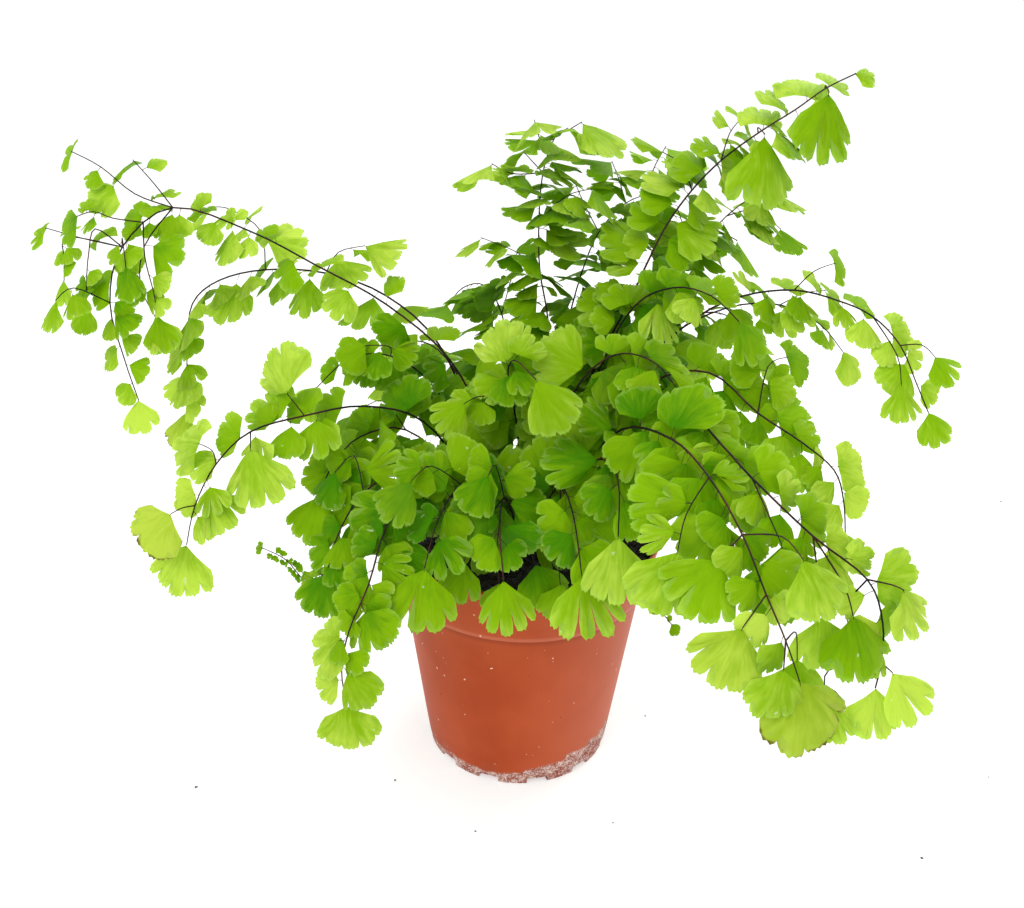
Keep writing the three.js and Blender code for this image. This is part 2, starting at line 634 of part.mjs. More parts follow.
const stemList = stems();
const leafList = leaflets(stemList);
FRONDS.forEach(([name], f) => {
  const rods = stemList.filter((stem) => stem.frond === f).map(rod);
  const blades = leafList.filter((leaf) => leaf.frond === f).map(blade);
  const body = Manifold.union([...rods, ...blades]).asOriginal().simplify(SLIVER);
  group.add(toMesh(body, `frond_${name}`, LOOKS.frond));
});

export default group;
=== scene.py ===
# %% [markdown]
# # A potted maidenhair fern
# A small nursery pot holds a fern whose wiry, nearly black stems carry fan-shaped leaflets on hair-thin stalks.
# A plant is hardly ever drawn leaf by leaf. Its growth follows a rule, so the rule is written down once and the
# leaves follow from it: where a stem runs, how far apart its leaflets stand, which way they turn to the light.
# The solids were made by that same rule, so each fine frond below fits the solid that it stands for.

# %% Load the solids
import json
import math

import bpy
import numpy as np
from mathutils import Matrix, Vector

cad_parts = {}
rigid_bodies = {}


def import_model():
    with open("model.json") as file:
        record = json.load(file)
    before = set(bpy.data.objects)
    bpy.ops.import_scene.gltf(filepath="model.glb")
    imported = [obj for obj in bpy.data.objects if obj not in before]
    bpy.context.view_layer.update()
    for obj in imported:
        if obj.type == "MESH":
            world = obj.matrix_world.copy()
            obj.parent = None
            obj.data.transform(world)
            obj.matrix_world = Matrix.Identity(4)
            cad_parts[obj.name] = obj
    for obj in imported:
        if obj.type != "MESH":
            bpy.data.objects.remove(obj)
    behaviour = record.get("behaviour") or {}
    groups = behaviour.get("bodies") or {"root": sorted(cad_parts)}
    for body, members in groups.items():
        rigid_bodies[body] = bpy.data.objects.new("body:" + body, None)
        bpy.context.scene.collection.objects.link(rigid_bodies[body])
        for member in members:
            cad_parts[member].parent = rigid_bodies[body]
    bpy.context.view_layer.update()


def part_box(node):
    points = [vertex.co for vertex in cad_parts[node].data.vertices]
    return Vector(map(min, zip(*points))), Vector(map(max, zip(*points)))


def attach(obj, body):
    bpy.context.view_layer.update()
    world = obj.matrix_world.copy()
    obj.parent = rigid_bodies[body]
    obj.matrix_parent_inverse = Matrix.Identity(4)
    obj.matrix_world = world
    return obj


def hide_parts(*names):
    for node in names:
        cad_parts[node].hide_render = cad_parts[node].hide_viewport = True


MM = 0.001
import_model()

# %% [markdown]
# ## The camera
# The camera is a real place in the room: 346 mm in front of the pot's middle, 290 mm above the table, and looking
# down at the pot. A level camera that sees the plant from the side would hide the soil, and a look from further
# away with a longer lens would flatten the pot's oval rim, so the near place with a wide lens is used.

# %% Camera
scene = bpy.context.scene
CAMERA_PLACE = (0.0, -0.346, 0.290)
LOOK_DOWN, LOOK_LEFT, TILT = (math.radians(a) for a in (23.5, 0.9, 1.25))
LENS, SENSOR_WIDTH = 31.64, 36.0

camera = bpy.data.objects.new("camera", bpy.data.cameras.new("camera"))
camera.data.lens, camera.data.sensor_width = LENS, SENSOR_WIDTH
camera.data.clip_start = 0.01
ahead = np.array([-math.sin(LOOK_LEFT), math.cos(LOOK_LEFT), 0.0]) * math.cos(LOOK_DOWN)
ahead[2] = -math.sin(LOOK_DOWN)
level = np.array([math.cos(LOOK_LEFT), math.sin(LOOK_LEFT), 0.0])
above = np.cross(level, ahead)
right = level * math.cos(TILT) + above * math.sin(TILT)
up = above * math.cos(TILT) - level * math.sin(TILT)
pose = np.eye(4)
pose[:3, 0], pose[:3, 1], pose[:3, 2], pose[:3, 3] = right, up, -ahead, CAMERA_PLACE
camera.matrix_world = Matrix(pose)
scene.collection.objects.link(camera)
scene.camera = camera
print("camera at", CAMERA_PLACE, "lens", LENS, "mm")

# %% [markdown]
# ## Numbers and arrows for node trees
# A node tree that works out a shape is a formula drawn with boxes. Placing dozens of Math nodes by hand is slow to
# write and hard to read. These two small classes let a formula be written as a formula: adding or multiplying
# two of their values adds the node that does so, in a Geometry Nodes tree and in a material alike.

# %% Formulas as nodes
def feed(tree, socket, value):
    """Links a value to a socket, or sets the socket where the value is a plain one. A node gives its first output."""
    if isinstance(value, (Number, Arrow)):
        tree.links.new(value.socket, socket)
    elif isinstance(value, bpy.types.Node):
        tree.links.new(value.outputs[0], socket)
    elif isinstance(value, bpy.types.NodeSocket):
        tree.links.new(value, socket)
    elif socket.type == "RGBA":
        socket.default_value = (*value, 1)
    else:
        socket.default_value = value


def feed_all(tree, node, **inputs):
    """Feeds several inputs of one node. They are given by name, with _ for a space."""
    for name, value in inputs.items():
        feed(tree, node.inputs[name.replace("_", " ")], value)


class Number:
    """A number in a node tree. Sums and products of numbers add the nodes that work them out."""

    def __init__(self, tree, socket):
        self.tree, self.socket = tree, socket

    def math(self, operation, *others):
        made = self.tree.nodes.new("ShaderNodeMath")
        made.operation = operation
        for socket, value in zip(made.inputs, (self, *others)):
            feed(self.tree, socket, value)
        return Number(self.tree, made.outputs[0])

    def __add__(self, other):
        return self.math("ADD", other)

    def __sub__(self, other):
        return self.math("SUBTRACT", other)

    def __mul__(self, other):
        return self.math("MULTIPLY", other)

    def __rsub__(self, other):
        return self.math("MULTIPLY", -1.0).math("ADD", other)

    def __pow__(self, other):
        return self.math("POWER", other)

    def __gt__(self, other):
        return self.math("GREATER_THAN", other)

    __radd__, __rmul__ = __add__, __mul__

    def step(self, low, high):
        """0 below low, 1 above high, and a smooth rise between them."""
        made = self.tree.nodes.new("ShaderNodeMapRange")
        made.interpolation_type = "SMOOTHSTEP"
        feed(self.tree, made.inputs["Value"], self)
        made.inputs["From Min"].default_value, made.inputs["From Max"].default_value = low, high
        return Number(self.tree, made.outputs["Result"])


class Arrow:
    """A direction or a place in a node tree."""

    def __init__(self, tree, socket):
        self.tree, self.socket = tree, socket

    def math(self, operation, other):
        made = self.tree.nodes.new("ShaderNodeVectorMath")
        made.operation = operation
        feed(self.tree, made.inputs[0], self)
        feed(self.tree, made.inputs["Scale" if operation == "SCALE" else 1], other)
        return Arrow(self.tree, made.outputs[0])

    def __add__(self, other):
        return self.math("ADD", other)

    def __mul__(self, number):
        return self.math("SCALE", number)

    def cross(self, other):
        return self.math("CROSS_PRODUCT", other)


def add_node(tree, kind, settings=(), **inputs):
    """A new node, with its settings and its inputs."""
    made = tree.nodes.new(kind)
    for name, value in dict(settings).items():
        setattr(made, name, value)
    feed_all(tree, made, **inputs)
    return made


# %% [markdown]
# ## Floor and light
# The plant stands on a white table in a room so bright that the table is nearly lost in the light, with no hard
# shadow anywhere. The table glows a little by itself, which stands for all the light that strikes it from
# outside. One lamp close by would throw a leaf pattern on the pot, so the light is a white sky all round, a wide
# soft panel above and in front, and a weaker one behind the leaves that lets them glow. A few crumbs of soil lie
# on the table. They belong to the setting.

# %% Floor and crumbs
def new_material(name):
    made = bpy.data.materials.new(name)
    made.use_nodes = True
    return made, made.node_tree, made.node_tree.nodes["Principled BSDF"]


def piece_from(name, points, faces, materials, edges=(), smooth=True):
    """A new mesh object at the origin, its points given in millimetres."""
    mesh = bpy.data.meshes.new(name)
    mesh.from_pydata((np.asarray(points, float) * MM).tolist(), list(edges), [tuple(f) for f in faces])
    for material in materials:
        mesh.materials.append(material)
    mesh.polygons.foreach_set("use_smooth", [smooth] * len(mesh.polygons))
    made = bpy.data.objects.new(name, mesh)
    scene.collection.objects.link(made)
    return made


FLOOR_RADIUS, FLOOR_SIDES = 12000.0, 64
WHITE, TABLE_GREY, CRUMB_BROWN = (1.0, 1.0, 1.0), (0.62, 0.62, 0.62), (0.05, 0.035, 0.025)
floor_paint, floor_tree, floor_finish = new_material("white_table")
feed_all(floor_tree, floor_finish, Base_Color=TABLE_GREY, Emission_Color=WHITE, Emission_Strength=0.45,
         Roughness=0.8, Specular_IOR_Level=0.0)
floor_edge = [(FLOOR_RADIUS * math.cos(a), FLOOR_RADIUS * math.sin(a), 0.0)
              for a in np.linspace(0, 2 * math.pi, FLOOR_SIDES, endpoint=False)]
piece_from("floor", floor_edge, [range(FLOOR_SIDES)], [floor_paint])

# Each crumb on the table: its place, and the size of its lump. One lump's corners and sides serve them all.
CRUMBS = [(-138, -50, 0.9), (-68, -20, 0.6), (-53, -42, 0.7), (41, -62, 0.5), (-16, -69, 0.6),
          (164, -75, 0.8), (212, -28, 0.5), (62, 6, 0.6), (352, 258, 0.9)]
LUMP = [(1, 0, 0.3), (0.2, 0.8, 0.25), (-0.9, 0.3, 0.3), (-0.3, -0.8, 0.2), (0.1, 0, 0.9), (0, 0, 0)]
SIDES = [(0, 1, 4), (1, 2, 4), (2, 3, 4), (3, 0, 4), (1, 0, 5), (2, 1, 5), (3, 2, 5), (0, 3, 5)]
crumb_paint, crumb_tree, crumb_finish = new_material("dark_crumb")
feed_all(crumb_tree, crumb_finish, Base_Color=CRUMB_BROWN)
crumb_points = [(x + p[0] * size, y + p[1] * size, p[2] * size) for x, y, size in CRUMBS for p in LUMP]
crumb_faces = [[len(LUMP) * n + k for k in side] for n in range(len(CRUMBS)) for side in SIDES]
piece_from("crumbs", crumb_points, crumb_faces, [crumb_paint], smooth=False)
print("floor radius", round(FLOOR_RADIUS * MM), "m, with", len(CRUMBS), "crumbs")

# %% Light
scene.world = bpy.data.worlds.new("bright_room")
scene.world.use_nodes = True
sky_tree = scene.world.node_tree
feed_all(sky_tree, sky_tree.nodes["Background"], Color=WHITE, Strength=1.06)
scene.view_settings.view_transform = "Standard"
PLANT_MIDDLE = np.array([0, 0, 0.15])


def panel(name, place, size, watts):
    """A square soft light at a place, facing the middle of the plant."""
    lamp = bpy.data.lights.new(name, "AREA")
    lamp.shape, lamp.size, lamp.energy = "SQUARE", size, watts
    holder = bpy.data.objects.new(name, lamp)
    aim = PLANT_MIDDLE - np.array(place)
    z = -aim / np.linalg.norm(aim)
    x = np.cross([0, 0, 1.0], z)
    x /= np.linalg.norm(x)
    turn = np.eye(4)
    turn[:3, 0], turn[:3, 1], turn[:3, 2], turn[:3, 3] = x, np.cross(z, x), z, place
    holder.matrix_world = Matrix(turn)
    scene.collection.objects.link(holder)


panel("soft_panel", (-0.55, -0.9, 1.35), 1.0, 11)
panel("back_panel", (0.7, 0.8, 1.1), 0.9, 8)

# %% [markdown]
# ## The stems of the fern
# Every frond is a black wire that leaves the soil, rises, and bends over under its leaves. The list below gives
# each frond its name, its foot on the soil, its leaflets (distance to the first, spacing, size, size of the one at
# the tip), the points that its stem runs through in millimetres, and its side twigs, which start at one of those
# points and may say how far their leaflets hang. A stem could be modelled by hand as a curve. Points in a list are
# easier to read, change and repeat.

# %% The list of fronds
FRONDS = [
  ["left_far", [-11, -2], [82, 12, 14, 13],
    [[-17, -3, 150], [-31, -3, 181], [-56, 0, 202], [-82, -2, 217], [-105, -6, 230],
      [-131, -12, 239], [-150, -16, 225], [-156, -20, 205], [-153, -22, 184], [-149, -24, 168]],
    [[5, [5, 10, 14, 13], [[-139, -22, 227], [-140, -28, 214], [-135, -31, 203]]],
      [5, [8, 12, 14, 11], [[-146, -8, 243], [-158, -6, 252], [-169, -4, 257]]],
      [6, [8, 12, 13, 10], [[-166, -12, 227], [-181, -9, 230]]],
      [7, [6, 11, 13, 12], [[-165, -27, 212], [-171, -30, 208]]]]],
  ["left_second", [-14, 8], [62, 14, 20, 16],
    [[-22, 14, 145], [-38, 22, 180], [-60, 26, 199], [-85, 26, 208], [-110, 25, 209],
      [-130, 25, 204], [-142, 24, 194], [-146, 23, 176], [-148, 22, 158], [-149, 21, 146]],
    [[4, [8, 12, 16, 14], [[-112, 30, 224], [-124, 32, 232], [-132, 32, 233]]],
      [3, [8, 12, 18, 17], [[-78, 20, 218], [-66, 14, 222]]]]],
  ["left_low", [-15, -6], [60, 13, 18, 19],
    [[-24, -13, 135], [-40, -22, 162], [-60, -34, 172], [-79, -48, 173], [-96, -57, 170],
      [-108, -61, 159], [-117, -62, 143], [-122, -62, 127]],
    [[3, [60, 12, 20, 19], [[-84, -50, 182]]],
      [5, [60, 12, 20, 20], [[-108, -63, 165], [-112, -64, 168]]],
      [6, [60, 12, 17, 17], [[-120, -66, 144], [-124, -67, 142]]],
      [4, [60, 12, 20, 20], [[-95, -62, 166]]]]],
  ["left_front", [-11, -15], [44, 12, 18, 17],
    [[-22, -28, 128], [-38, -50, 146], [-47, -70, 142], [-52, -84, 126], [-58, -91, 112],
      [-61, -93, 97], [-60, -93, 82]],
    []],
  ["left_hanging", [-17, -10], [44, 12, 18, 17],
    [[-29, -22, 130], [-45, -40, 148], [-58, -54, 146], [-66, -64, 134], [-70, -68, 120]],
    [[2, [6, 12, 15, 14], [[-62, -48, 158], [-68, -54, 154]]]]],
  ["left_middle", [-19, 0], [40, 13, 20, 17],
    [[-29, -3, 132], [-48, -12, 154], [-63, -30, 158], [-71, -44, 152], [-75, -52, 143]],
    [[1, [8, 13, 17, 16], [[-58, -6, 164], [-68, -10, 160]]]]],
  ["left_inner", [-16, 5], [46, 12, 17, 14],
    [[-25, 6, 142], [-40, 6, 168], [-55, 0, 181], [-70, -8, 182], [-82, -14, 172]],
    [[2, [8, 13, 16, 13], [[-54, -10, 188], [-62, -16, 190]]]]],
  ["front_left", [-7, -15], [36, 13, 22, 21],
    [[-12, -32, 130], [-22, -54, 150], [-29, -72, 146], [-33, -82, 132]],
    [[1, [8, 13, 18, 16], [[-32, -64, 162], [-38, -72, 160]]]]],
  ["front_centre", [-2, -17], [32, 13, 22, 18],
    [[-4, -34, 128], [-7, -56, 147], [-8, -74, 145], [-6, -85, 130]],
    [[1, [8, 13, 17, 15], [[-10, -62, 162], [-12, -70, 162]]]]],
  ["front_right", [4, -15], [34, 13, 22, 22],
    [[8, -32, 130], [13, -56, 152], [17, -76, 150], [20, -87, 134]],
    []],
  ["front_far_right", [10, -12], [42, 13, 22, 22],
    [[17, -26, 134], [26, -50, 160], [31, -74, 164], [31, -88, 150]],
    [[1, [8, 13, 18, 16], [[38, -60, 170], [46, -70, 168]]]]],
  ["right_front", [13, -7], [62, 14, 18, 20],
    [[22, -22, 142], [34, -50, 172], [46, -82, 182], [54, -106, 180], [61, -124, 171],
      [67, -134, 158], [73, -138, 146], [78, -140, 134]],
    [[3, [8, 12, 18, 19], [[47, -114, 172], [44, -122, 164]]],
      [4, [60, 12, 18, 18], [[55, -126, 164]]],
      [5, [60, 12, 17, 18], [[61, -137, 149]], 1.4],
      [6, [60, 12, 16, 17], [[72, -143, 140]], 1.3],
      [4, [8, 12, 18, 17], [[70, -130, 174], [75, -135, 170]]]]],
  ["right_cascade", [17, -2], [74, 13, 17, 15],
    [[29, -12, 142], [43, -36, 172], [54, -64, 184], [61, -90, 183], [66, -108, 181],
      [82, -120, 169], [97, -126, 159], [103, -128, 146], [104, -130, 134], [104, -130, 125]],
    [[4, [60, 12, 21, 22], [[73, -122, 167]]],
      [5, [60, 12, 18, 18], [[90, -128, 158], [93, -131, 150]]],
      [6, [60, 12, 15, 16], [[104, -127, 158], [107, -128, 157]]],
      [8, [60, 12, 15, 16], [[107, -132, 132]]]]],
  ["right_low", [19, 3], [62, 13, 18, 15],
    [[32, -2, 150], [48, -16, 178], [66, -32, 188], [82, -46, 178], [96, -55, 171],
      [107, -60, 163], [111, -63, 153], [113, -65, 141]],
    [[3, [8, 13, 16, 14], [[86, -36, 192], [94, -30, 194]]]]],
  ["right_inner", [14, 4], [56, 13, 19, 16],
    [[22, 2, 150], [31, -4, 186], [40, -14, 208], [52, -24, 217], [64, -31, 216], [74, -35, 208]],
    []],
  ["right_far", [20, 8], [84, 13, 16, 13],
    [[34, 8, 150], [52, 4, 184], [67, 0, 201], [82, -4, 210], [99, -10, 214], [115, -12, 211],
      [128, -15, 206], [139, -18, 196], [147, -20, 182], [153, -22, 171]],
    [[4, [7, 10, 13, 12], [[104, -14, 222], [110, -18, 226]]],
      [7, [7, 10, 14, 12], [[146, -20, 197], [151, -22, 193]]],
      [6, [6, 12, 14, 14], [[136, -24, 194], [138, -28, 184]]]]],
  ["right_back", [20, 13], [72, 14, 17, 15],
    [[36, 18, 150], [58, 22, 184], [82, 24, 198], [104, 24, 200], [122, 25, 192], [134, 26, 180]],
    [[3, [8, 12, 14, 12], [[112, 20, 206], [120, 18, 208]]]]],
  ["top_right", [9, 3], [84, 12, 21, 8],
    [[17, 5, 145], [29, 6, 180], [39, 5, 203], [45, 3, 220], [51, 1, 235], [59, 0, 248],
      [68, -3, 259], [79, -8, 269], [90, -11, 277], [99, -12, 284], [108, -14, 289]],
    [[5, [6, 11, 14, 13], [[56, 8, 256], [49, 14, 260]]],
      [6, [6, 11, 13, 11], [[71, 2, 268], [75, 4, 273]]],
      [9, [60, 30, 21, 22], [[98, -15, 285], [99, -17, 283]], 1.3],
      [7, [60, 30, 24, 24], [[78, -11, 271], [80, -14, 269]], 1.3]]],
  ["top_right_back", [10, 11], [76, 12, 21, 18],
    [[20, 18, 145], [38, 28, 178], [56, 33, 200], [68, 34, 218], [80, 34, 234], [94, 32, 246]],
    [[4, [8, 12, 16, 14], [[92, 38, 236], [105, 42, 228]]],
      [3, [8, 12, 18, 17], [[62, 28, 230], [58, 24, 238]]]]],
  ["top_middle", [0, 7], [70, 9, 22, 21],
    [[3, 11, 145], [8, 17, 172], [8, 20, 192], [4, 23, 212], [3, 26, 231], [4, 28, 250],
      [8, 27, 263], [13, 26, 267]],
    [[4, [6, 10, 15, 14], [[13, 20, 242], [23, 14, 246]]],
      [5, [5, 12, 14, 13], [[-4, 26, 258]]],
      [3, [7, 10, 14, 12], [[-6, 20, 220], [-20, 16, 226]]]]],
  ["top_left", [-5, 12], [58, 10, 21, 18],
    [[-7, 20, 145], [-9, 34, 170], [-12, 44, 188], [-20, 50, 199], [-30, 53, 197],
      [-37, 55, 188]],
    [[2, [8, 11, 15, 13], [[-8, 48, 204], [-6, 50, 214]]]]],
  ["top_middle_back", [4, 13], [78, 11, 23, 20],
    [[9, 24, 150], [16, 36, 182], [22, 43, 206], [29, 47, 224], [40, 50, 236], [51, 52, 240]],
    [[3, [8, 11, 17, 15], [[22, 44, 236], [18, 42, 244]]]]],
  ["right_upper_back", [9, 16], [64, 12, 22, 18],
    [[19, 28, 145], [36, 42, 176], [52, 50, 202], [66, 54, 218], [80, 57, 224], [91, 58, 220]],
    []],
  ["centre_right", [5, -6], [49, 12, 21, 18],
    [[9, -14, 145], [15, -28, 172], [23, -38, 190], [33, -44, 198], [44, -48, 196], [52, -52, 188]],
    []],
  ["centre_front", [-1, -8], [48, 12, 20, 19],
    [[-2, -14, 145], [-5, -26, 172], [-7, -36, 188], [-4, -46, 195], [3, -54, 191]],
    [[1, [8, 12, 16, 14], [[-16, -36, 178], [-22, -44, 178]]]]],
  ["back_left", [-10, 13], [52, 19, 20, 16],
    [[-19, 24, 142], [-37, 46, 166], [-53, 66, 168], [-65, 82, 156], [-72, 92, 140]],
    []],
  ["back_middle", [0, 17], [48, 19, 20, 16],
    [[2, 32, 140], [5, 58, 164], [8, 82, 166], [10, 100, 152], [11, 110, 136]],
    []],
  ["back_right", [12, 20], [56, 19, 20, 16],
    [[22, 34, 142], [42, 58, 170], [60, 78, 176], [76, 93, 166], [86, 102, 150]],
    []],
  ["back_far_right", [17, 16], [64, 18, 19, 16],
    [[30, 26, 145], [54, 42, 174], [78, 54, 188], [98, 61, 182], [112, 64, 168]],
    []],
]

print(len(FRONDS), "fronds,", sum(len(f[4]) for f in FRONDS), "twigs")

# %% [markdown]
# ## One number for each leaf
# No two leaflets are alike, yet the plant must come out the same each time it is made. A random generator gives
# different numbers as soon as the order of the work changes. A hash doesn't: it turns the frond's number, the
# leaflet's number and the question asked into a fraction from 0 to 1, always the same one. The questions have
# names, so that it is plain what each draw decides.

# %% Repeatable chance
SEED = 41
WORD = 0xFFFFFFFF
STIR_FROND, STIR_LEAF, STIR_QUESTION = 73856093, 19349663, 83492791
STIR_FIRST, STIR_SECOND = 2246822507, 3266489909
ASK_STANCE = (1, 2, 3)
ASK_SIZE, ASK_SWING, ASK_SPREAD, ASK_SKEW, ASK_CUP, ASK_WAVE, ASK_PHASE, ASK_PLACE = range(4, 12)
ASK_SMALL_PLACE, ASK_SMALL_SWING = 12, 13
ASK_STALK, ASK_DROOP, ASK_SHADE, ASK_DRY, ASK_LOBES, ASK_DEPTH = range(21, 27)


def draw(frond, leaf, question):
    """The answer to one question about one leaflet, from 0 to 1."""

    def times(a, b):
        return ((a & WORD) * b) & WORD

    h = ((SEED + times(frond, STIR_FROND)) ^ (times(leaf, STIR_LEAF) + times(question, STIR_QUESTION))) & WORD
    h = times(h ^ (h >> 16), STIR_FIRST)
    h = times(h ^ (h >> 13), STIR_SECOND)
    return (h ^ (h >> 16)) / (WORD + 1)


print("three draws:", [round(draw(0, 0, k), 3) for k in range(3)])

# %% [markdown]
# ## Where each stem runs
# The solid's stems are straight rods between way points, with one more point wherever the line bends much. The
# leaflets were set out along those, so the same lines are measured here.

# %% Stem lines
SOIL_TOP = 98.0
FOOT_DEPTH, FOOT_HEIGHT = 11.0, 4.0
BEND = 1.7


def unit(v):
    return v / math.sqrt(v @ v)


def smooth(points):
    """The way points, with the middle of the smooth curve added where it leaves the straight line by much."""
    out = [points[0]]
    for i in range(len(points) - 1):
        before, after = points[max(i - 1, 0)], points[min(i + 2, len(points) - 1)]
        straight = (points[i] + points[i + 1]) * 0.5
        bent = straight * 1.125 - (before + after) * 0.0625
        if np.linalg.norm(bent - straight) > BEND:
            out.append(bent)
        out.append(points[i + 1])
    return out


def arrows(points):
    return [np.array(p, float) for p in points]


stems = []


def add_stem(frond, way, leaves, hang=None, foot=()):
    """A stem through way points. Only a frond's main stem has a foot, which goes straight down into the soil."""
    stems.append({"frond": frond, "path": [*foot, *smooth(way)], "way": [*foot, *way], "leaves": leaves,
                  "twig": not foot, "hang": hang})


for number, (_, foot, leaves, way, twigs) in enumerate(FRONDS):
    low, high, *way = arrows([[*foot, SOIL_TOP - FOOT_DEPTH], [*foot, SOIL_TOP + FOOT_HEIGHT], *way])
    add_stem(number, [high, *way], leaves, foot=[low])
    for start, twig_leaves, twig_way, *hang in twigs:
        add_stem(number, [way[start], *arrows(twig_way)], twig_leaves, *hang)


def along(path, distance):
    """Position and direction at a distance along a path."""
    for i in range(1, len(path)):
        step = np.linalg.norm(path[i] - path[i - 1])
        if distance <= step or i == len(path) - 1:
            return path[i - 1] + (path[i] - path[i - 1]) * min(distance / step, 1), (path[i] - path[i - 1]) / step
        distance -= step


def path_length(path):
    return sum(np.linalg.norm(b - a) for a, b in zip(path, path[1:]))


print(len(stems), "stems,", round(sum(path_length(s["path"]) for s in stems)), "mm of wire")

# %% [markdown]
# ## The rule for one leaflet
# A leaflet is a fan: a narrow root, two straight sides, and an outer edge in rounded lobes. It lies roughly along
# its stem, swings out to one side, droops, and turns its face to the window. High leaflets lie nearly level, low
# ones hang down.

# %% The outline and the stance of a leaflet
DROOP, LEVEL_FROM, LEVEL_SPAN = 0.4, 190.0, 200.0
LEAF_MIDDLE, LEAF_REACH = 0.55, 0.98
WAVES, SKEW_REACH = 3.1, 0.1
OUTWARD, FORWARD, UPWARD, LOOSE = 0.3, 0.72, 0.6, 0.5


def make_leaf(stem, at, side, k, base):
    """The plan of a leaflet: its place on a stem, its side (0 at the tip), and what its own draws decide."""
    f, tip = stem["frond"], side == 0
    size = base * (1.05 if tip else 0.86 + 0.28 * draw(f, k, ASK_SIZE))
    return {
        "stem": stem, "at": at, "side": side, "frond": f, "key": k, "tip": tip, "size": size,
        "swing": 0.25 * (draw(f, k, ASK_SWING) - 0.5) if tip else 1.0 + 0.3 * draw(f, k, ASK_SWING),
        "lobes": 1 if size < 10 else 2 if size < 17.5 else 3,
        "spread": 0.68 + 0.3 * draw(f, k, ASK_SPREAD),
        "skew": 0.0 if tip else side * (0.12 + 0.14 * draw(f, k, ASK_SKEW)),
        "cup": 0.05 + 0.14 * draw(f, k, ASK_CUP),
        "wave": 0.035 + 0.03 * draw(f, k, ASK_WAVE),
        "phase": 6.28 * draw(f, k, ASK_PHASE),
    }


def edge(leaf):
    """The edge as rows of across, along, lift, starting at the root."""
    steps = 2 * leaf["lobes"]
    i = np.arange(steps + 1)
    t = 1 - 2 * i / steps
    angle = leaf["spread"] * t + leaf["skew"] * (1 - t * t)
    reach = np.where(i % 2 == 0, 0.9, 1.0)
    reach[0] = reach[-1] = 0.78
    r = leaf["size"] * reach * (1 + SKEW_REACH * leaf["skew"] * t)
    lift = leaf["size"] * (-leaf["cup"] * t * t + leaf["wave"] * np.sin(leaf["phase"] + WAVES * t))
    return np.vstack([np.zeros(3), np.stack([r * np.sin(angle), r * np.cos(angle), lift * reach], 1)])


def face_triangles(n):
    """The triangles that fill an edge of n points: first the middle, then the lobes."""
    rows = [[0, 1, n - 1]]
    rows += [[1, j, j + 2 if j + 2 < n else n - 1] for j in range(3, n - 1, 2)]
    rows += [[j - 1, j, j + 1] for j in range(2, n - 1, 2)]
    return np.array(rows)


TRIANGLES = {n: face_triangles(n) for n in (4, 6, 8)}


def placed(leaf, points, margin, lift):
    """The edge set in space, grown outwards by a margin and lifted off its own plane."""
    middle = LEAF_MIDDLE * leaf["size"]
    reach = np.hypot(points[:, 0], points[:, 1] - middle)
    grow = 1 + margin / np.maximum(reach, 1)
    x, y = points[:, 0] * grow, middle + (points[:, 1] - middle) * grow
    return (leaf["root"] + x[:, None] * leaf["across"] + y[:, None] * leaf["out"]
            + (points[:, 2] + lift)[:, None] * leaf["face"])


def towards_light(p, hang):
    """Which way a leaflet at p turns its face: outwards, to the window in front of the plant, and up."""
    flat = math.hypot(p[0], p[1]) or 1
    forward = min(max((50 - p[1]) / 50, -0.8), 1)
    return np.array([OUTWARD * p[0] / flat, OUTWARD * p[1] / flat - FORWARD * forward * hang, UPWARD])


def turned(a, axis, angle):
    """The arrow a, turned round an axis."""
    return a * math.cos(angle) + np.cross(axis, a) * math.sin(angle) + axis * ((axis @ a) * (1 - math.cos(angle)))


def stand(leaf, swing, roll):
    """Sets which way a leaflet points and faces."""
    root, direction = along(leaf["stem"]["path"], leaf["at"])
    jitter = np.array([draw(leaf["frond"], leaf["key"], question) - 0.5 for question in ASK_STANCE])
    hang = leaf["stem"]["hang"] or min(max(1 - (root[2] - LEVEL_FROM) / LEVEL_SPAN, 0.5), 1)
    face = unit(towards_light(root, hang) + LOOSE * jitter)
    laid = unit(direction - face * (direction @ face) + np.array([0, 0, -0.001]))
    sideways = unit(np.cross(face, laid))
    out = laid * math.cos(swing) + sideways * (leaf["side"] * math.sin(swing))
    out = unit(out + np.array([0, 0, -DROOP * hang]))
    face = turned(unit(face - out * (face @ out)), out, roll)
    return {**leaf, "root": root, "out": out, "face": face, "across": np.cross(out, face)}


print("a leaflet's edge has", len(edge(make_leaf(stems[0], 0, 0, 0, 17))), "points")

# %% [markdown]
# ## Keeping leaflets apart
# Leaves that pass through each other look wrong as soon as the light falls on them. Each leaflet in turn tries
# its natural stance, then others, then a smaller size, until its sheet cuts no leaflet that is already there, no
# stem and not the pot. Physics could push them apart instead, but then one small change would move them all.

# %% Sheets, stems and the pot
POT_HEIGHT, RIM_RADIUS, BODY_TOP_RADIUS = 108.0, 60.0, 52.6
STEM_CLEAR, RIM_CLEAR, WALL_CLEAR, INSIDE_CLEAR, BAND_SLOPE = 1.7, 2.0, 2.5, 9.0, 0.2


def any_cut(lines, triangles):
    """Does any of these pieces of line pass through any of these triangles?"""
    p, d = lines[:, None, 0], lines[:, None, 1] - lines[:, None, 0]
    a = triangles[None, :, 0]
    e1, e2 = triangles[None, :, 1] - a, triangles[None, :, 2] - a
    h = np.cross(d, e2)
    det = (e1 * h).sum(-1)
    thin = np.abs(det) < 1e-9
    det = np.where(thin, 1.0, det)
    s = p - a
    u = (s * h).sum(-1) / det
    w = np.cross(s, e1)
    v = (d * w).sum(-1) / det
    t = (e2 * w).sum(-1) / det
    return bool((~thin & (u >= 0) & (u <= 1) & (v >= 0) & (u + v <= 1) & (t >= 0) & (t <= 1)).any())


